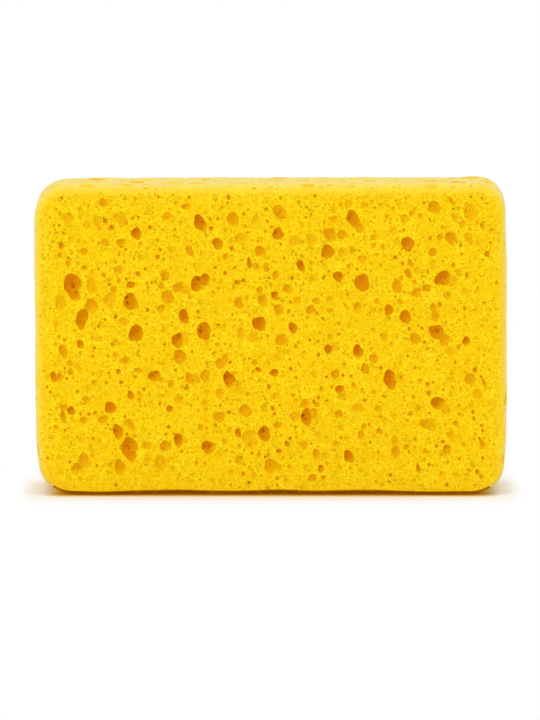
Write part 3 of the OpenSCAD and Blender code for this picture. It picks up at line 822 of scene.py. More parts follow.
@dataclass
class PoreField:
    """All the bubbles that open in the block's surface.

    Attributes:
        shape: the block that they open in.
        opening: half-width of a bubble on a face, as a share of the width in its row.
        least_wall: narrowest foam between two scattered bubbles.
        small_per_cm2: scattered small pores tried on each square centimetre of every side.
        plain_per_cm2: scattered large pores tried on each square centimetre, except in front.
        large, medium, small: widths of the largest and the smallest pore of each kind.
        rarity: how quickly large pores give way to small ones, as a power.
        stretch: how many times as high as wide the scattered ones are, and how far that varies.
        leans: the least lean of the scattered ones, in degrees, and how far that varies.
        margin: how far inside a face's outline the scattered pores' middles stay, at least.
        over_edge: how far a pore may reach over the rounded edge of a face.
        side_margin: least distance from their middles to the edges of the narrow sides.
        side_clearance: least distance from a pore to a face, in edge radii.
        holed_from: least radius of a deep bubble with smaller openings in its walls.
        holes: a bubble has a random whole number of those, from 0 to under this.
        hole_depth: how deep they lie, as a share of the bubble's depth.
        hole_away: how far they lie from its middle, as a share of its radius, and how far that
            varies.
        hole_shift: how far the slant of the bubble then moves them, across and up, in its radii.
        hole_size: their radius, as a share of the bubble's, and how far that varies.
        hole_stretch: how many times as high as wide they are.
        hole_head: how far their cutters reach out of the wall.
    """

    shape: BlockShape
    opening: float = 0.53
    least_wall: float = 0.12
    small_per_cm2: float = 9.0
    plain_per_cm2: float = 5.5
    large: tuple[float, float] = (4.8, 1.5)
    medium: tuple[float, float] = (2.2, 1.2)
    small: tuple[float, float] = (1.25, 0.75)
    rarity: int = 4
    stretch: tuple[float, float] = (0.95, 0.4)
    leans: tuple[float, float] = (-8.0, 30.0)
    margin: float = 2.0
    over_edge: float = 0.4
    side_margin: float = 0.6
    side_clearance: float = 1.5
    holed_from: float = 1.1
    holes: float = 2.6
    hole_depth: float = 0.8
    hole_away: tuple[float, float] = (0.15, 0.4)
    hole_shift: tuple[float, float] = (-0.25, 0.2)
    hole_size: tuple[float, float] = (0.14, 0.14)
    hole_stretch: float = 1.2
    hole_head: float = 0.3

    def face_bubble(self, row: Row, side: Side, number: int) -> Bubble:
        """Places a pore on the front or the back face.

        Args:
            row: the pore, as a row of the map.
            side: the face.
            number: what its random shape is drawn from.

        Returns:
            Its bubble.
        """
        across, up, width, height, lean, depth = row
        facing = 1 if side is Side.FRONT else -1
        place = np.array([[across * facing, up, facing * self.shape.half_thickness]])
        out = np.array([0, 0, facing], float)
        return Bubble(
            centre=place[0] + out * unevenness(place)[0],
            right=np.array([facing, 0, 0], float), up=np.array([0, 1, 0], float), out=out,
            half_width=self.opening * width, half_height=self.opening * height, lean=lean,
            depth=list(Depth)[depth], number=number, side=side)

    def side_bubble(self, row: Row, number: int) -> Bubble:
        """Places a pore on the narrow sides.

        Args:
            row: the pore, as a row of the map that starts with (way round, through).
            number: what its random shape is drawn from.

        Returns:
            Its bubble.
        """
        way, through, width, height, lean, depth = row
        place, out, side = self.shape.outline(way)
        inset, tilt = self.shape.drawn_in(through)
        right = np.array([-out[1], out[0], 0])
        facing = np.array([*(out * math.cos(tilt)), math.sin(tilt)])
        centre = np.array([[*(place - out * inset), through]])
        centre[:, :2] += self.shape.settled(centre)
        return Bubble(
            centre=centre[0] + facing * unevenness(centre)[0],
            right=right, up=np.cross(facing, right), out=facing,
            half_width=width / 2, half_height=height / 2, lean=lean,
            depth=list(Depth)[depth], number=number, side=side)

    def row(self, item: int, share: float, series: int, spread: tuple[float, float],
            sizes: tuple[float, float]) -> Row:
        """Draws one scattered pore.

        Args:
            item: which pore of the series.
            share: how far through the series it comes, from 0, the largest, to 1.
            series: the series of draws.
            spread: half the width and height that the pores are spread over.
            sizes: widths of the largest and the smallest pore.

        Returns:
            The pore, as a row of the map.
        """
        width = sizes[1] + (sizes[0] - sizes[1]) * (1 - share) ** self.rarity
        return ((2 * scatter(item, series) - 1) * spread[0],
                (2 * scatter(item, series + 1) - 1) * spread[1],
                width, width * (self.stretch[0] + self.stretch[1] * scatter(item, series + 2)),
                self.leans[0] + self.leans[1] * scatter(item, series + 3),
                int(3 * scatter(item, series + 4)))

    def on_face(self, bubble: Bubble) -> bool:
        """Tells whether a bubble keeps clear of the rim round a face.

        Args:
            bubble: the bubble.

        Returns:
            Whether all of it opens in the face.
        """
        flat = np.abs(bubble.centre[:2])
        edge = self.shape.corner_radius - self.shape.face_inset + self.over_edge
        beyond = np.maximum(flat - self.shape.corner, 0)
        return bool(np.linalg.norm(beyond) + bubble.radius < edge)

    def scattered(self, side: Side | None, series: int, per_cm2: float,
                  sizes: tuple[float, float]) -> list[Bubble]:
        """Scatters bubbles over a face, or over the narrow sides.

        Args:
            side: the face, or None for the narrow sides.
            series: the series of draws.
            per_cm2: how many are tried on each square centimetre.
            sizes: widths of the largest and the smallest.

        Returns:
            Those that open well inside it.
        """
        shape = self.shape
        found = []
        if side is None:
            spread = (shape.way_round / 2,
                      shape.half_thickness - shape.edge_radius - self.side_margin)
        else:
            spread = (shape.length / 2 - self.margin, shape.height / 2 - self.margin)
        side_reach = shape.half_thickness - self.side_clearance * shape.edge_radius
        count = int(4 * spread[0] * spread[1] / 100 * per_cm2)
        for item in range(count):
            row = self.row(item, item / count, series, spread, sizes)
            number = series * 10000 + item
            if side is None:
                if abs(row[1]) + row[3] / 2 < side_reach:
                    found.append(self.side_bubble(row, number))
            else:
                bubble = self.face_bubble(row, side, number)
                if self.on_face(bubble):
                    found.append(bubble)
        return found

    def apart(self, tried: Sequence[Bubble], kept: Sequence[Bubble]) -> list[Bubble]:
        """Keeps the bubbles that leave a wall to all those kept before.

        Args:
            tried: the bubbles to add, the most wanted first.
            kept: the bubbles that stay in any case.

        Returns:
            The bubbles to add.
        """
        places = [bubble.centre for bubble in kept]
        radii = [bubble.radius for bubble in kept]
        added = []
        for bubble in tried:
            gaps = (np.linalg.norm(np.array(places) - bubble.centre, axis=1)
                    - np.array(radii) - bubble.radius)
            if gaps.min() > self.least_wall:
                added.append(bubble)
                places.append(bubble.centre)
                radii.append(bubble.radius)
        return added

    def inner_holes(self, bubbles: Sequence[Bubble]) -> list[Bubble]:
        """Opens smaller bubbles in the walls of the large deep ones.

        Args:
            bubbles: the bubbles of every size.

        Returns:
            The smaller ones.
        """
        holes = []
        for bubble in bubbles:
            if bubble.radius < self.holed_from or bubble.depth is not Depth.DEEP:
                continue
            for k in range(int(self.holes * bubble.draw(Draw.HOLES))):
                turn = 2 * math.pi * bubble.draw(Draw.HOLE_TURN + k)
                least, more = self.hole_away
                away = (least + more * bubble.draw(Draw.HOLE_AWAY + k)) * bubble.radius
                depth = bubble.depth.share * bubble.radius * self.hole_depth
                across, up = (shift * bubble.radius for shift in self.hole_shift)
                centre = (bubble.centre - bubble.out * depth
                          + bubble.right * (math.cos(turn) * away + across)
                          + bubble.up * (math.sin(turn) * away + up))
                least, more = self.hole_size
                radius = bubble.radius * (least + more * bubble.draw(Draw.HOLE_SIZE + k))
                holes.append(replace(
                    bubble, centre=centre, half_width=radius,
                    half_height=radius * self.hole_stretch, depth=Depth.INNER,
                    number=bubble.number * 7 + k + 1, head=self.hole_head))
        return holes

    def bubbles(self) -> list[Bubble]:
        """Gives every bubble.

        Returns:
            The bubbles, with the large ones first.
        """
        front = [self.face_bubble(row, Side.FRONT, k + 1)
                 for k, row in enumerate(PORE_MAP + SMALL_PORES)]
        rest: list[Bubble] = []
        for side, series in ((Side.BACK, 30), (None, 50)):
            rest += self.scattered(side, series, self.plain_per_cm2 / 2, self.large)
            rest += self.scattered(side, series + 6, self.plain_per_cm2 / 2, self.medium)
        rest = self.apart(rest, front)
        fine: list[Bubble] = []
        for side, series in ((Side.FRONT, 100), (Side.BACK, 110), (None, 120)):
            fine += self.scattered(side, series, self.small_per_cm2, self.small)
        fine = self.apart(fine, front + rest)
        return front + rest + fine + self.inner_holes(front + rest)


def in_batches(bubbles: Sequence[Bubble]) -> list[list[Bubble]]:
    """Sorts bubbles into batches in which no two cutters meet.

    Args:
        bubbles: all the bubbles to cut.

    Returns:
        The batches, in the order in which they are cut.
    """
    batches: list[list[Bubble]] = []
    for bubble in bubbles:
        for batch in batches:
            centres = np.array([other.centre for other in batch])
            reaches = np.array([other.reach for other in batch])
            if (np.linalg.norm(centres - bubble.centre, axis=1) > reaches + bubble.reach).all():
                batch.append(bubble)
                break
        else:
            batches.append([bubble])
    return batches


def to_frame(points: np.ndarray, height: float) -> np.ndarray:
    """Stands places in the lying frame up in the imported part's own, in metres."""
    return np.column_stack([points[:, 0], -points[:, 2], points[:, 1] + height / 2]) * MM


def from_frame(points: np.ndarray, height: float) -> np.ndarray:
    """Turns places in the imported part's frame back into lying ones, in millimetres."""
    spots = points / MM
    return np.column_stack([spots[:, 0], spots[:, 2] - height / 2, -spots[:, 1]])


def new_object(name: str, points: np.ndarray, faces: Sequence[Sequence[int]],
               marks: dict[str, Sequence[int]]) -> bpy.types.Object:
    """Makes an object with whole numbers marked on its faces.

    Args:
        name: the object's name.
        points: places in metres.
        faces: the corners of each face.
        marks: for each mark, its value on each face.

    Returns:
        The object, linked into the scene.
    """
    mesh = bpy.data.meshes.new(name)
    mesh.from_pydata(points.tolist(), [], faces)
    for mark, values in marks.items():
        mesh.attributes.new(mark, "INT", "FACE").data.foreach_set("value", list(values))
    made = bpy.data.objects.new(name, mesh)
    bpy.context.scene.collection.objects.link(made)
    return made


def read(parts: bpy.types.bpy_prop_collection, name: str, kind: type,
         width: int = 1) -> np.ndarray:
    """Reads one value of every part of a mesh.

    Args:
        parts: its points, edges, corners or faces, or the data of one of its attributes.
        name: Blender's name for the value.
        kind: the kind of number.
        width: how many numbers each value has.

    Returns:
        The values, with a row for each part where they have more than one number.
    """
    found = np.empty(len(parts) * width, kind)
    parts.foreach_get(name, found)
    return found.reshape(-1, width) if width > 1 else found


class Graph:
    """Adds and links the nodes of one material or world."""

    def __init__(self, tree: bpy.types.NodeTree) -> None:
        """Starts on an empty tree."""
        self.tree = tree
        tree.nodes.clear()

    def add(self, kind: str, inputs: dict[str | int, object] | None = None,
            **settings: object) -> bpy.types.Node:
        """Adds a node.

        Args:
            kind: Blender's name for the node type.
            inputs: for each input, the constant or the output that feeds it.
            **settings: the node's own settings.

        Returns:
            The node.
        """
        node = self.tree.nodes.new(kind)
        for name, value in settings.items():
            setattr(node, name, value)
        for name, value in (inputs or {}).items():
            if isinstance(value, bpy.types.NodeSocket):
                self.tree.links.new(value, node.inputs[name])
            else:
                node.inputs[name].default_value = value
        return node

    def maths(self, operation: str, *values: object) -> bpy.types.NodeSocket:
        """Adds a Math node over its values."""
        return self.add("ShaderNodeMath", dict(enumerate(values)), operation=operation).outputs[0]

    def vector(self, operation: str, *values: object) -> bpy.types.NodeSocket:
        """Adds a Vector Math node over its values."""
        node = self.add("ShaderNodeVectorMath", dict(enumerate(values)), operation=operation)
        return node.outputs["Value" if operation == "LENGTH" else "Vector"]

    def noise(self, spot: bpy.types.NodeSocket, scale: float, detail: float) -> bpy.types.Node:
        """Adds a Noise texture at a scale, in turns for each millimetre."""
        return self.add("ShaderNodeTexNoise", {"Vector": spot, "Scale": scale, "Detail": detail})

    def attribute(self, name: str) -> bpy.types.NodeSocket:
        """Reads one of the mesh's own values."""
        return self.add("ShaderNodeAttribute", attribute_name=name).outputs["Fac"]

    def span(self, value: bpy.types.NodeSocket, start: float, end: float, low: float = 0.0,
             high: float = 1.0, kind: str = "LINEAR") -> bpy.types.NodeSocket:
        """Maps one range of values onto another.

        Args:
            value: what is mapped.
            start: the value that gives low.
            end: the value that gives high.
            low: the result at start, and past it.
            high: the result at end, and past it.
            kind: Blender's name for the curve between them.

        Returns:
            The mapped value.
        """
        return self.add("ShaderNodeMapRange", {
            "Value": value, "From Min": start, "From Max": end, "To Min": low, "To Max": high,
        }, interpolation_type=kind).outputs[0]

    def blend(self, share: object, first: object, second: object) -> bpy.types.NodeSocket:
        """Mixes two colours, with a share of the second from 0 to 1."""
        mixed = self.add("ShaderNodeMix", {0: share, 6: first, 7: second}, data_type="RGBA")
        return mixed.outputs[2]

    def seen(self) -> bpy.types.NodeSocket:
        """Tells apart the rays that are to find a plain white background.

        Returns:
            1 for rays from the camera, in a mirror or through glass, and 0 for light.
        """
        path = self.add("ShaderNodeLightPath").outputs
        mirrored = self.maths("MAXIMUM", path["Is Glossy Ray"], path["Is Transmission Ray"])
        return self.maths("MAXIMUM", path["Is Camera Ray"], mirrored)


def rgba(colour: Colour) -> tuple[float, float, float, float]:
    """Adds full cover to a colour."""
    return (*colour, 1.0)


@dataclass(frozen=True)
class PitLayer:
    """One size of the fine pits between the open bubbles.

    Attributes:
        cell: mean distance between pits, in millimetres.
        least, most: radius of the smallest and the largest pit, as a share of the cell. Cells
            whose radius comes out under nothing have no pit.
        depth: depth of a pit, in millimetres.
        hollow: how far the middle of a cell takes on painted shade, in the deep colour.
        shade: how far a pit takes on painted shade, in its own shade colour.
        web: how far the foam between two pits takes on the colour of thin walls.
        pit_shade: colour of the painted shade in a pit.
        PIT_EDGE: where a pit starts and is whole, as shares of its radius.
        HOLLOW_EDGE, WEB_EDGE: the same for hollows and walls, as distances from a cell's edge
            in cells.
        STRENGTH: the span of draws over which pits grow stronger, and the strength at its ends.
        LEAST_WEB: how far the thin walls show round a cell with no hollow.
    """

    cell: float
    least: float
    most: float
    depth: float
    hollow: float
    shade: float
    web: float
    pit_shade: Colour = (0.41, 0.165, 0.0003)

    PIT_EDGE: ClassVar = (1.0, 0.7)
    HOLLOW_EDGE: ClassVar = (0.06, 0.32)
    WEB_EDGE: ClassVar = (0.13, 0.02)
    STRENGTH: ClassVar = (0.2, 0.9, 0.2, 1)
    LEAST_WEB: ClassVar = 0.3

    def covers(self, graph: Graph, spot: bpy.types.NodeSocket) -> tuple[bpy.types.NodeSocket, ...]:
        """Draws the layer.

        Args:
            graph: the material's nodes.
            spot: the place, in millimetres.

        Returns:
            How far its pits, its hollow cells and its web of walls cover the place, from 0 to 1.
        """
        cells = graph.add("ShaderNodeTexVoronoi", {"Vector": spot, "Scale": 1 / self.cell})
        draws = graph.add("ShaderNodeSeparateColor", {0: cells.outputs["Color"]})
        size, strength, openness = draws.outputs
        radius = graph.maths("MAXIMUM", graph.span(size, 0, 1, self.least, self.most), 0.001)
        far = graph.maths("DIVIDE", cells.outputs["Distance"], radius)
        strength = graph.span(strength, *self.STRENGTH)
        pit = graph.maths("MULTIPLY", strength, graph.span(far, *self.PIT_EDGE, kind="SMOOTHSTEP"))
        edges = graph.add("ShaderNodeTexVoronoi", {"Vector": spot, "Scale": 1 / self.cell},
                          feature="DISTANCE_TO_EDGE").outputs["Distance"]
        inner = graph.maths("MULTIPLY", openness,
                            graph.span(edges, *self.HOLLOW_EDGE, kind="SMOOTHSTEP"))
        web = graph.maths("MULTIPLY", graph.span(openness, 0, 1, self.LEAST_WEB, 1),
                          graph.span(edges, *self.WEB_EDGE, kind="SMOOTHSTEP"))
        return pit, inner, web


@dataclass(frozen=True)
class FoamFinish:
    """Open-pored foam: soft, matt and strongly coloured all through.

    Attributes:
        name: the material's name.
        face: colour of the open surface.
        deep: colour of the painted shade that light takes on between walls of foam, in bubbles and
            hollows.
        wall: colour of the thinnest walls.
        rim: painted sheen: the paler colour that the rim and the narrow sides take on.
        painted_sheen_share: how far the rim and the narrow sides take on that colour.
        calm: how much of the pits shows there.
        pits: the layers of fine pits.
        patches: strength of the pits where the foam is plainest and where it is most open.
        thin: how far the surface takes on the colour of thin walls, in places.
        stray: how far the pits stray from their plain pattern, in millimetres.
        stray_scale, patch_scale, thin_scale, grain_scale: turns of each for a millimetre.
        grain: height of the finest grain, in millimetres.
        relief: how strongly pits and grain catch the light.
        painted_glow: an emission that stands in for light coming through the foam.
        roughness: of the surface.
        sheen: how strongly fine fibres bloom at a slant.
        sheen_tint: the bloom's colour.
        sheen_roughness: how far the bloom spreads.
    """

    name: str = "foam_skin"
    face: Colour = (0.93, 0.515, 0.001)
    deep: Colour = (0.80, 0.29, 0.0003)
    wall: Colour = (0.98, 0.785, 0.013)
    rim: Colour = (0.985, 0.82, 0.16)
    painted_sheen_share: float = 0.5
    calm: float = 0.65
    pits: tuple[PitLayer, ...] = (
        PitLayer(cell=3.0, least=-0.04, most=0.28, depth=0.4, hollow=0.0, shade=0.75, web=0.0,
                 pit_shade=(0.82, 0.31, 0.0003)),
        PitLayer(cell=2.2, least=-0.2, most=0.28, depth=0.25, hollow=0.05, shade=0.9, web=0.4),
        PitLayer(cell=1.2, least=-0.3, most=0.36, depth=0.14, hollow=0.14, shade=0.75, web=0.85),
        PitLayer(cell=0.7, least=-0.3, most=0.42, depth=0.08, hollow=0.17, shade=0.5, web=0.75),
    )
    patches: tuple[float, float] = (0.75, 1.15)
    thin: float = 0.25
    stray: float = 0.9
    stray_scale: float = 1.2
    patch_scale: float = 0.22
    thin_scale: float = 0.6
    grain_scale: float = 2.2
    grain: float = 0.14
    relief: float = 0.62
    painted_glow: Colour = (0.0, 0.0, 0.0)
    roughness: float = 0.95
    sheen: float = 0.62
    sheen_tint: Colour = (1.0, 0.9, 0.06)
    sheen_roughness: float = 0.2

    def material(self) -> bpy.types.Material:
        """Makes the foam material.

        Returns:
            The material.
        """
        made = bpy.data.materials.new(self.name)
        made.use_nodes = True
        graph = Graph(made.node_tree)
        place = graph.add("ShaderNodeTexCoord").outputs["Object"]
        spot = graph.add("ShaderNodeVectorMath", {0: place, 3: 1 / MM}, operation="SCALE").outputs[0]
        painted_sheen = graph.attribute("painted_sheen")
        colour, hollow = self.pitted(graph, spot, painted_sheen)
        # Painted sheen: the rim and the narrow sides are paled towards the rim colour.
        colour = graph.blend(graph.maths("MULTIPLY", painted_sheen, self.painted_sheen_share), colour, rgba(self.rim))
        # Painted shade in the bubbles: their walls darken towards the deep colour, most at the
        # bottom.
        colour = graph.blend(graph.attribute("tone"), colour, rgba(self.deep))
        fine = graph.noise(spot, self.grain_scale, 3.0).outputs["Fac"]
        hollow = graph.maths("MULTIPLY_ADD", fine, self.grain, hollow)
        bump = graph.add("ShaderNodeBump", {"Height": hollow, "Strength": self.relief,
                                            "Distance": MM})
        surface = graph.add("ShaderNodeBsdfPrincipled", {
            "Base Color": colour, "Roughness": self.roughness, "Specular IOR Level": 0.0,
            "Sheen Weight": self.sheen, "Sheen Roughness": self.sheen_roughness,
            "Sheen Tint": rgba(self.sheen_tint), "Normal": bump.outputs[0],
            # Painted glow: the emission stands in for light through the foam.
            "Emission Color": rgba(self.painted_glow), "Emission Strength": 1.0,
        })
        graph.add("ShaderNodeOutputMaterial", {"Surface": surface.outputs[0]})
        return made

    def pitted(self, graph: Graph, spot: bpy.types.NodeSocket, painted_sheen: bpy.types.NodeSocket,
               ) -> tuple[bpy.types.NodeSocket, bpy.types.NodeSocket]:
        """Lays every layer of fine pits over the open surface.

        Args:
            graph: the material's nodes.
            spot: the place, in millimetres.
            painted_sheen: how far the place takes on the painted sheen of the rim.

        Returns:
            The colour and the height of the surface, in millimetres.
        """
        away = graph.noise(spot, self.stray_scale, 1.0).outputs["Color"]
        strayed = graph.vector("MULTIPLY_ADD", away, (self.stray, self.stray, self.stray), spot)
        open_foam = self.uneven(graph, spot, self.patch_scale, 2)
        coarse = graph.span(open_foam, 0.35, 0.65, *self.patches)
        coarse = graph.maths("MULTIPLY", coarse, graph.span(painted_sheen, 0.0, 1.0, 1.0, self.calm))
        thin_foam = self.uneven(graph, spot, self.thin_scale, 4)
        colour = graph.blend(graph.span(thin_foam, 0.45, 0.75, 0.0, self.thin), rgba(self.face),
                             rgba(self.wall))
        height: bpy.types.NodeSocket | float = 0.0
        for layer in self.pits:
            pit, inner, web = layer.covers(graph, strayed)
            # The hollows and the pits are painted shade, in the deep and the pit colours; the web is
            # the paler colour of thin walls.
            for cover, share, shade in ((inner, layer.hollow, self.deep),
                                        (pit, layer.shade, layer.pit_shade),
                                        (web, layer.web, self.wall)):
                cover = graph.maths("MULTIPLY", graph.maths("MULTIPLY", cover, share), coarse)
                colour = graph.blend(cover, colour, rgba(shade))
            height = graph.maths("MULTIPLY_ADD", graph.maths("ADD", pit, inner), -layer.depth, height)
        return colour, height

    def uneven(self, graph: Graph, spot: bpy.types.NodeSocket, scale: float,
               detail: float) -> bpy.types.NodeSocket:
        """Gives slow variation over the foam, stretched to go from 0 to 1."""
        return graph.span(graph.noise(spot, scale, detail).outputs["Fac"], 0.3, 0.7)


SKIN = FoamFinish()
PORE = replace(SKIN, name="foam_pore", sheen=0.0)
# The foot finish is painted shade under the block, in dark browns, with a painted glow whose emission
# stands in for light through the foam.
FOOT_SHADE_AND_GLOW = replace(SKIN, name="foam_foot_shade_and_glow", face=(0.42, 0.19, 0.001), wall=(0.5, 0.25, 0.001),
               rim=(0.5, 0.24, 0.002), deep=(0.4, 0.15, 0.0003), painted_glow=(0.05, 0.016, 0.0), sheen=0.0)
RIM = replace(SKIN, name="foam_rim", relief=0.35, sheen=1.0, sheen_tint=(1.0, 0.99, 0.62))
FINISHES = (SKIN, PORE, FOOT_SHADE_AND_GLOW, RIM)


@dataclass(frozen=True)
class BakeMap:
    """Where each side of the block lies on its texture, flat and at one scale.

    Attributes:
        size: texels along the texture.
        per_mm: texels for each millimetre of the block.
        margin: bare millimetres at the start of each side.
        corners: where each side starts on the texture, in texels, in the order of Side.
        upright: the sides that stand on end.
    """

    size: int = 1024
    per_mm: float = 5.0
    margin: float = 1.2
    corners: tuple[tuple[int, int], ...] = ((0, 0), (0, 408), (0, 816), (616, 604), (616, 0),
                                            (820, 0))
    upright: tuple[Side, ...] = (Side.RIGHT, Side.TOP, Side.LEFT)

    def place(self, shape: BlockShape, points: np.ndarray, sides: np.ndarray) -> np.ndarray:
        """Places points on the texture.

        Args:
            shape: the plain block.
            points: places in millimetres, one in each row.
            sides: the side that each point belongs to.

        Returns:
            Their places on the texture, from 0 to 1.
        """
        flat = np.zeros((len(points), 2))
        for side in Side:
            own = sides == side.value
            spots = points[own]
            if side.is_face:
                across = spots[:, 0] if side is Side.FRONT else -spots[:, 0]
                there = np.stack([across + shape.length / 2, spots[:, 1] + shape.height / 2], 1)
            else:
                there = np.stack([shape.way_of(spots, side),
                                  spots[:, 2] + shape.half_thickness], 1)
            if side in self.upright:
                there = there[:, ::-1]
            flat[own] = (there + self.margin) * self.per_mm + np.array(self.corners[side.value])
        return flat / self.size


@dataclass
class CutFoam:
    """The cut block's mesh, read corner by corner.

    Attributes:
        mesh: the mesh of the block with its bubbles cut.
        shape: the plain block.
        bubbles: the bubbles, in the order of their marks.
        side_shade: how much of a bubble's painted shade shows where it opens in a narrow side.
        face_rim, side_rim: how much of it shows right at its rim, in a face and in a narrow side.
        pore_painted_sheen: how far a bubble's walls take part in the painted sheen of the rim.
        drawn: how far the deepest of a bubble's walls draw in on the texture.
        rim_middle, rim_swing: how much of that shows halfway round the rim, and how far it
            swings between its soft and its crisp side.
    """

    mesh: bpy.types.Mesh
    shape: BlockShape
    bubbles: Sequence[Bubble]
    side_shade: float = 0.35
    face_rim: float = 0.85
    side_rim: float = 0.2
    pore_painted_sheen: float = 0.6
    drawn: float = 0.25
    rim_middle: float = 0.65
    rim_swing: float = 0.5

    def __post_init__(self) -> None:
        """Reads the faces, the corners and their places on the block before it settled."""
        sizes = read(self.mesh.polygons, "loop_total", int)
        points = read(self.mesh.loops, "vertex_index", int)
        spots = from_frame(read(self.mesh.vertices, "co", float, 3), self.shape.height)
        spots[:, :2] -= self.shape.settled(spots)
        self.face_marks = read(self.mesh.attributes["bubble"].data, "value", int)
        self.face_sides = read(self.mesh.attributes["side"].data, "value", int)
        self.marks = np.repeat(self.face_marks, sizes)
        self.sides = np.repeat(self.face_sides, sizes)
        self.spots = spots[points]
        self.rim_share = self.shape.rim_share(spots)[points]
        centres = np.array([[0.0] * 3] + [bubble.centre for bubble in self.bubbles])
        centres[:, :2] -= self.shape.settled(centres)
        self.centres = centres[self.marks]
        depths = self.of_bubbles([bubble.depth.share * bubble.radius for bubble in self.bubbles], 1.0)
        self.down = np.minimum(self.shape.under_surface(spots)[points] / depths, 1)

    def of_bubbles(self, values: Sequence[object], plain: object) -> np.ndarray:
        """Spreads one value for each bubble over its corners, and a plain one over the rest."""
        return np.array([plain, *values])[self.marks]

    def pore_shades(self) -> np.ndarray:
        """Measures how far each corner takes on the painted shade of the bubbles.

        Returns:
            Its share: most at the bottom of a bubble, and crisper on one side of its rim.
        """
        most = self.of_bubbles([bubble.tone * (1 if bubble.side.is_face else self.side_shade)
                                for bubble in self.bubbles], 0.0)
        crisp = self.of_bubbles([self.face_rim if bubble.side.is_face else self.side_rim
                                 for bubble in self.bubbles], 0.0)
        fades = self.of_bubbles([bubble.fade for bubble in self.bubbles], [0.0] * 3)
        along = ((self.spots - self.centres) * fades).sum(axis=1)
        at_rim = crisp * np.clip(self.rim_middle + self.rim_swing * along, 0.1, 1)
        return most * (at_rim + (1 - at_rim) * self.down)

    def painted_sheens(self) -> np.ndarray:
        """Measures how far each corner takes on the painted sheen of the rim and the narrow sides."""
        return np.where(self.marks > 0, self.pore_painted_sheen, 1.0) * self.rim_share

    def laid(self) -> np.ndarray:
        """Moves each bubble's walls in, so that they lie inside its rim on the texture."""
        kept = np.where(self.marks > 0, 1 - self.drawn * self.down, 1)[:, None]
        return self.centres + (self.spots - self.centres) * kept

    def open_edges(self) -> np.ndarray:
        """Finds the edges between the inside of a bubble and the skin."""
        edges = read(self.mesh.loops, "edge_index", int)
        return np.bincount(edges, self.marks > 0, len(self.mesh.edges)) == 1


@dataclass
class SpongeBlock:
    """The sponge itself: one block of foam with every bubble cut out of it.

    Attributes:
        shape: the plain block.
        pores: the bubbles.
        sharp: least angle between two faces of one bubble that shows as an edge, in degrees.
        shade_height: how high the underside's painted shade and glow reach, in millimetres.
        shade_facing: how squarely the underside with painted shade faces down, at least.
        bake_map: the layout of its texture.
    """

    shape: BlockShape
    pores: PoreField
    sharp: float = 50.0
    shade_height: float = 3.0
    shade_facing: float = 0.8
    bake_map: BakeMap = BakeMap()

    def build(self) -> bpy.types.Object:
        """Builds, cuts, marks and dresses the block.

        Returns:
            The block.
        """
        points, faces, sides = self.shape.mesh_parts()
        block = new_object("foam_block", to_frame(points, self.shape.height), faces,
                           {"bubble": [0] * len(faces), "side": sides})
        bubbles = self.pores.bubbles()
        marks = {bubble: k + 1 for k, bubble in enumerate(bubbles)}
        for batch in in_batches(bubbles):
            self.cut(block, batch, marks)
        block.data.materials.clear()
        for finish in FINISHES:
            block.data.materials.append(finish.material())
        self.mark(block.data, bubbles)
        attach(block, "root")
        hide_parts(NODE)
        return block

    def cut(self, block: bpy.types.Object, batch: Sequence[Bubble],
            marks: dict[Bubble, int]) -> None:
        """Cuts one batch of bubbles out of the block.

        Args:
            block: the block.
            batch: bubbles that don't meet.
            marks: the number that each bubble leaves on its walls.
        """
        points, faces, numbers, sides = [], [], [], []
        start = 0
        for bubble in batch:
            form, corners = bubble.mesh_parts()
            points.append(form)
            faces += [[start + k for k in face] for face in corners]
            numbers += [marks[bubble]] * len(corners)
            sides += [bubble.side.value] * len(corners)
            start += len(form)
        cutter = new_object("cutter", to_frame(np.concatenate(points), self.shape.height), faces,
                            {"bubble": numbers, "side": sides})
        change = block.modifiers.new("cut", "BOOLEAN")
        change.operation = "DIFFERENCE"
        change.solver = "MANIFOLD"
        change.object = cutter
        graph = bpy.context.evaluated_depsgraph_get()
        carved = bpy.data.meshes.new_from_object(block.evaluated_get(graph))
        block.modifiers.clear()
        old = block.data
        block.data = carved
        bpy.data.meshes.remove(old)
        bpy.data.objects.remove(cutter)

    def mark(self, mesh: bpy.types.Mesh, bubbles: Sequence[Bubble]) -> None:
        """Adds the block's painted shade and sheen, its bake map, its finishes and its sharp rims.

        Args:
            mesh: the mesh of the cut block.
            bubbles: the bubbles, in the order of their marks.
        """
        foam = CutFoam(mesh, self.shape, bubbles)
        # The bubbles' painted shade and the rim's painted sheen, corner by corner.
        for name, values in (("tone", foam.pore_shades()), ("painted_sheen", foam.painted_sheens())):
            mesh.attributes.new(name, "FLOAT", "CORNER").data.foreach_set("value", values)
        laid = self.bake_map.place(self.shape, foam.laid(), foam.sides)
        mesh.uv_layers.new(name="OFBake").data.foreach_set("uv", laid.ravel())
        mesh.polygons.foreach_set("material_index", self.finishes(foam).astype(np.int32))
        mesh.shade_smooth()
        mesh.set_sharp_from_angle(angle=math.radians(self.sharp))
        sharp = read(mesh.attributes["sharp_edge"].data, "value", bool)
        mesh.attributes["sharp_edge"].data.foreach_set("value", sharp | foam.open_edges())
        LOG.info("block has %d faces, %d corners", len(mesh.polygons), len(mesh.loops))

    def finishes(self, foam: CutFoam) -> np.ndarray:
        """Chooses the finish of each face.

        Args:
            foam: the cut block.

        Returns:
            The finish's place in FINISHES.
        """
        kinds = np.where(foam.face_marks > 0, FINISHES.index(PORE), FINISHES.index(SKIN))
        kinds[foam.face_sides >= Side.BOTTOM.value] = FINISHES.index(RIM)
        facing = read(foam.mesh.polygons, "normal", float, 3)
        middles = read(foam.mesh.polygons, "center", float, 3)
        # Faces under the block near the ground take the foot's painted shade and glow.
        underneath = (facing[:, 2] < -self.shade_facing) & (middles[:, 2] < self.shade_height * MM)
        beside = np.abs(middles[:, 1]) > self.shape.half_strip * MM
        kinds[underneath & beside] = FINISHES.index(FOOT_SHADE_AND_GLOW)
        return kinds


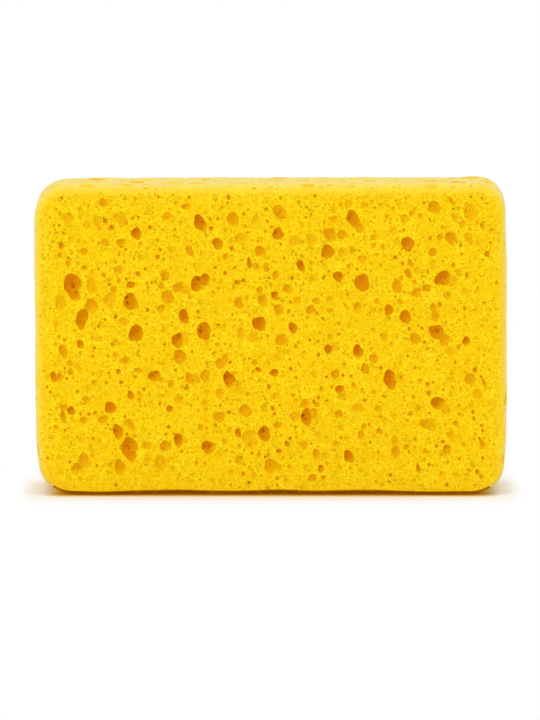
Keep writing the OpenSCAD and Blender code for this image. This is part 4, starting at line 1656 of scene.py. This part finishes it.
@dataclass(frozen=True)
class FloorFinish:
    """A plain pale floor that keeps the object's shadow, has painted bounce light and a painted glow
    next to the block, and runs out into a white ground.

    Attributes:
        colour: the floor itself.
        painted_glow: painted bounce light, the floor's colour where the block's own colour falls on
            it.
        glow_light: painted glow, an emission in place of light that comes through the foam onto it
            there.
        glow_reach: how far that goes from the block, in metres.
        glow_inset: how far inside the block's ends it starts to fade, in metres.
        glow_pull: how quickly it fades along the block, against away from it.
        shadow_reach: how far beside and in front of the block the floor still shows its own
            shading, in metres.
    """

    colour: Colour = (0.92, 0.93, 0.96)
    painted_glow: Colour = (0.93, 0.68, 0.16)
    glow_light: Colour = (0.09, 0.05, 0.0)
    glow_reach: float = 0.0035
    glow_inset: float = 0.0068
    glow_pull: float = 0.6
    shadow_reach: tuple[float, float] = (0.005, 0.028)

    def material(self, half_size: Vector) -> bpy.types.Material:
        """Makes the floor material.

        Args:
            half_size: half the block's footprint, in metres.

        Returns:
            The material.
        """
        made = bpy.data.materials.new("floor")
        made.use_nodes = True
        graph = Graph(made.node_tree)
        place = graph.add("ShaderNodeTexCoord").outputs["Object"]
        # Painted bounce light and glow: next to the block the floor is tinted towards its colour and
        # given a faint emission.
        inset = Vector((self.glow_inset, 0, 0))
        near = self.away(graph, place, half_size - inset, (self.glow_pull, 1, 0))
        past = graph.span(near, 0, self.glow_reach, kind="SMOOTHSTEP")
        colour = graph.blend(past, rgba(self.painted_glow), rgba(self.colour))
        light = graph.blend(graph.span(near, 0, self.glow_reach / 2), rgba(self.glow_light),
                            (0, 0, 0, 1))
        across, deep = self.shadow_reach
        far = self.away(graph, place, half_size, (1 / across, 1 / deep, 0))
        white = graph.span(far, 0, 1, kind="SMOOTHSTEP")
        plain = graph.add("ShaderNodeBsdfDiffuse", {"Color": colour})
        lit = graph.add("ShaderNodeEmission", {"Color": light, "Strength": 1.0})
        plain = graph.add("ShaderNodeAddShader", {0: plain.outputs[0], 1: lit.outputs[0]})
        ground = graph.add("ShaderNodeEmission", {"Color": (1, 1, 1, 1), "Strength": 1.0})
        mixed = graph.add("ShaderNodeMixShader", {
            0: graph.maths("MULTIPLY", white, graph.seen()), 1: plain.outputs[0],
            2: ground.outputs[0]})
        graph.add("ShaderNodeOutputMaterial", {"Surface": mixed.outputs[0]})
        return made

    def away(self, graph: Graph, place: bpy.types.NodeSocket, half_size: Vector,
             weights: tuple[float, float, float]) -> bpy.types.NodeSocket:
        """Measures how far a place lies outside a footprint.

        Args:
            graph: the material's nodes.
            place: the place on the floor.
            half_size: half the footprint, in metres.
            weights: how much the distance counts along the block, away from it and up.

        Returns:
            The weighted distance.
        """
        apart = graph.vector("SUBTRACT", graph.vector("ABSOLUTE", place), half_size)
        apart = graph.vector("MAXIMUM", apart, (0, 0, 0))
        return graph.vector("LENGTH", graph.vector("MULTIPLY", apart, weights))


@dataclass(frozen=True)
class Lamp:
    """A soft square lamp.

    Attributes:
        name: the lamp's name.
        place: where it hangs, in metres.
        size: its side, in metres.
        power: in watts.
    """

    name: str
    place: tuple[float, float, float]
    size: float
    power: float

    def hang(self, target: Vector) -> None:
        """Adds the lamp.

        Args:
            target: what it faces, in metres.
        """
        light = bpy.data.lights.new(self.name, "AREA")
        light.size = self.size
        light.energy = self.power
        made = bpy.data.objects.new(self.name, light)
        made.location = self.place
        made.rotation_euler = (target - made.location).to_track_quat("-Z", "Y").to_euler()
        bpy.context.scene.collection.objects.link(made)


@dataclass
class Studio:
    """The floor, the lamps, the world and the camera.

    Attributes:
        shape: the block that they are set round.
        lamps: the lamps.
        world_strength: brightness of the even light from all round.
        floor_reach: from the middle of the floor to its edges, in metres.
        distance: from the front face to the camera, in metres.
        elevation: of the camera above the horizon, in degrees.
        scale: how many times the block's length the picture is wide.
        sight: how far the camera sees, in metres.
        drop: how far under the block's middle the picture's middle lies, in millimetres.
        picture_aspect: how many times as high as wide the picture is.
        sensor_width: of the camera, in its own millimetres.
    """

    shape: BlockShape
    lamps: tuple[Lamp, ...] = (Lamp("key", (-0.9, -1.5, 1.3), 1.0, 5.0),
                               Lamp("top", (0.1, 0.2, 1.6), 1.4, 3.0))
    world_strength: float = 0.955
    floor_reach: float = 6.0
    distance: float = 2.5
    elevation: float = 5.2
    scale: float = 1.144
    sight: float = 50.0
    drop: float = 4.8
    picture_aspect: float = 720 / 540
    sensor_width: float = 36.0

    def build(self) -> None:
        """Sets up everything round the object."""
        self.floor()
        self.world()
        for lamp in self.lamps:
            lamp.hang(Vector((0, 0, self.shape.height / 2 * MM)))
        self.camera()

    def floor(self) -> None:
        """Makes the floor."""
        corners = np.array([[-1, -1, 0], [1, -1, 0], [1, 1, 0], [-1, 1, 0]]) * self.floor_reach
        made = new_object("floor", corners, [[0, 1, 2, 3]], {})
        half = Vector((self.shape.length / 2, self.shape.thickness / 2, 0)) * MM
        made.data.materials.append(FloorFinish().material(half))

    def world(self) -> None:
        """Makes the even light, which the camera sees as white."""
        made = bpy.data.worlds.new("studio")
        made.use_nodes = True
        graph = Graph(made.node_tree)
        light, white = (graph.add("ShaderNodeBackground", {"Color": (1, 1, 1, 1),
                                                           "Strength": strength}).outputs[0]
                        for strength in (self.world_strength, 1.0))
        mixed = graph.add("ShaderNodeMixShader", {0: graph.seen(), 1: light, 2: white})
        graph.add("ShaderNodeOutputWorld", {"Surface": mixed.outputs[0]})
        bpy.context.scene.world = made

    def camera(self) -> None:
        """Makes the camera, in front and a little above."""
        lens = bpy.data.cameras.new("camera")
        width = self.shape.length * MM * self.scale
        lens.sensor_width = self.sensor_width
        lens.lens = self.sensor_width * self.distance / (width * self.picture_aspect)
        lens.clip_end = self.sight
        made = bpy.data.objects.new("camera", lens)
        tilt = math.radians(self.elevation)
        middle = Vector((0, -self.shape.half_thickness, self.shape.height / 2 - self.drop)) * MM
        away = Vector((0, -math.cos(tilt), math.sin(tilt)))
        made.location = middle + away * self.distance
        made.rotation_euler = (-away).to_track_quat("-Z", "Y").to_euler()
        bpy.context.scene.collection.objects.link(made)
        bpy.context.scene.camera = made
        bpy.context.scene.view_settings.view_transform = "Standard"


def main() -> None:
    """Builds the studio and the sponge."""
    logging.basicConfig(level=logging.INFO, format="%(name)s: %(message)s")
    shape = BlockShape.of_node(NODE)
    Studio(shape).build()
    piece = SpongeBlock(shape, PoreField(shape)).build()
    LOG.info("%s replaces %s", piece.name, NODE)


if __name__ == "__main__":
    main()
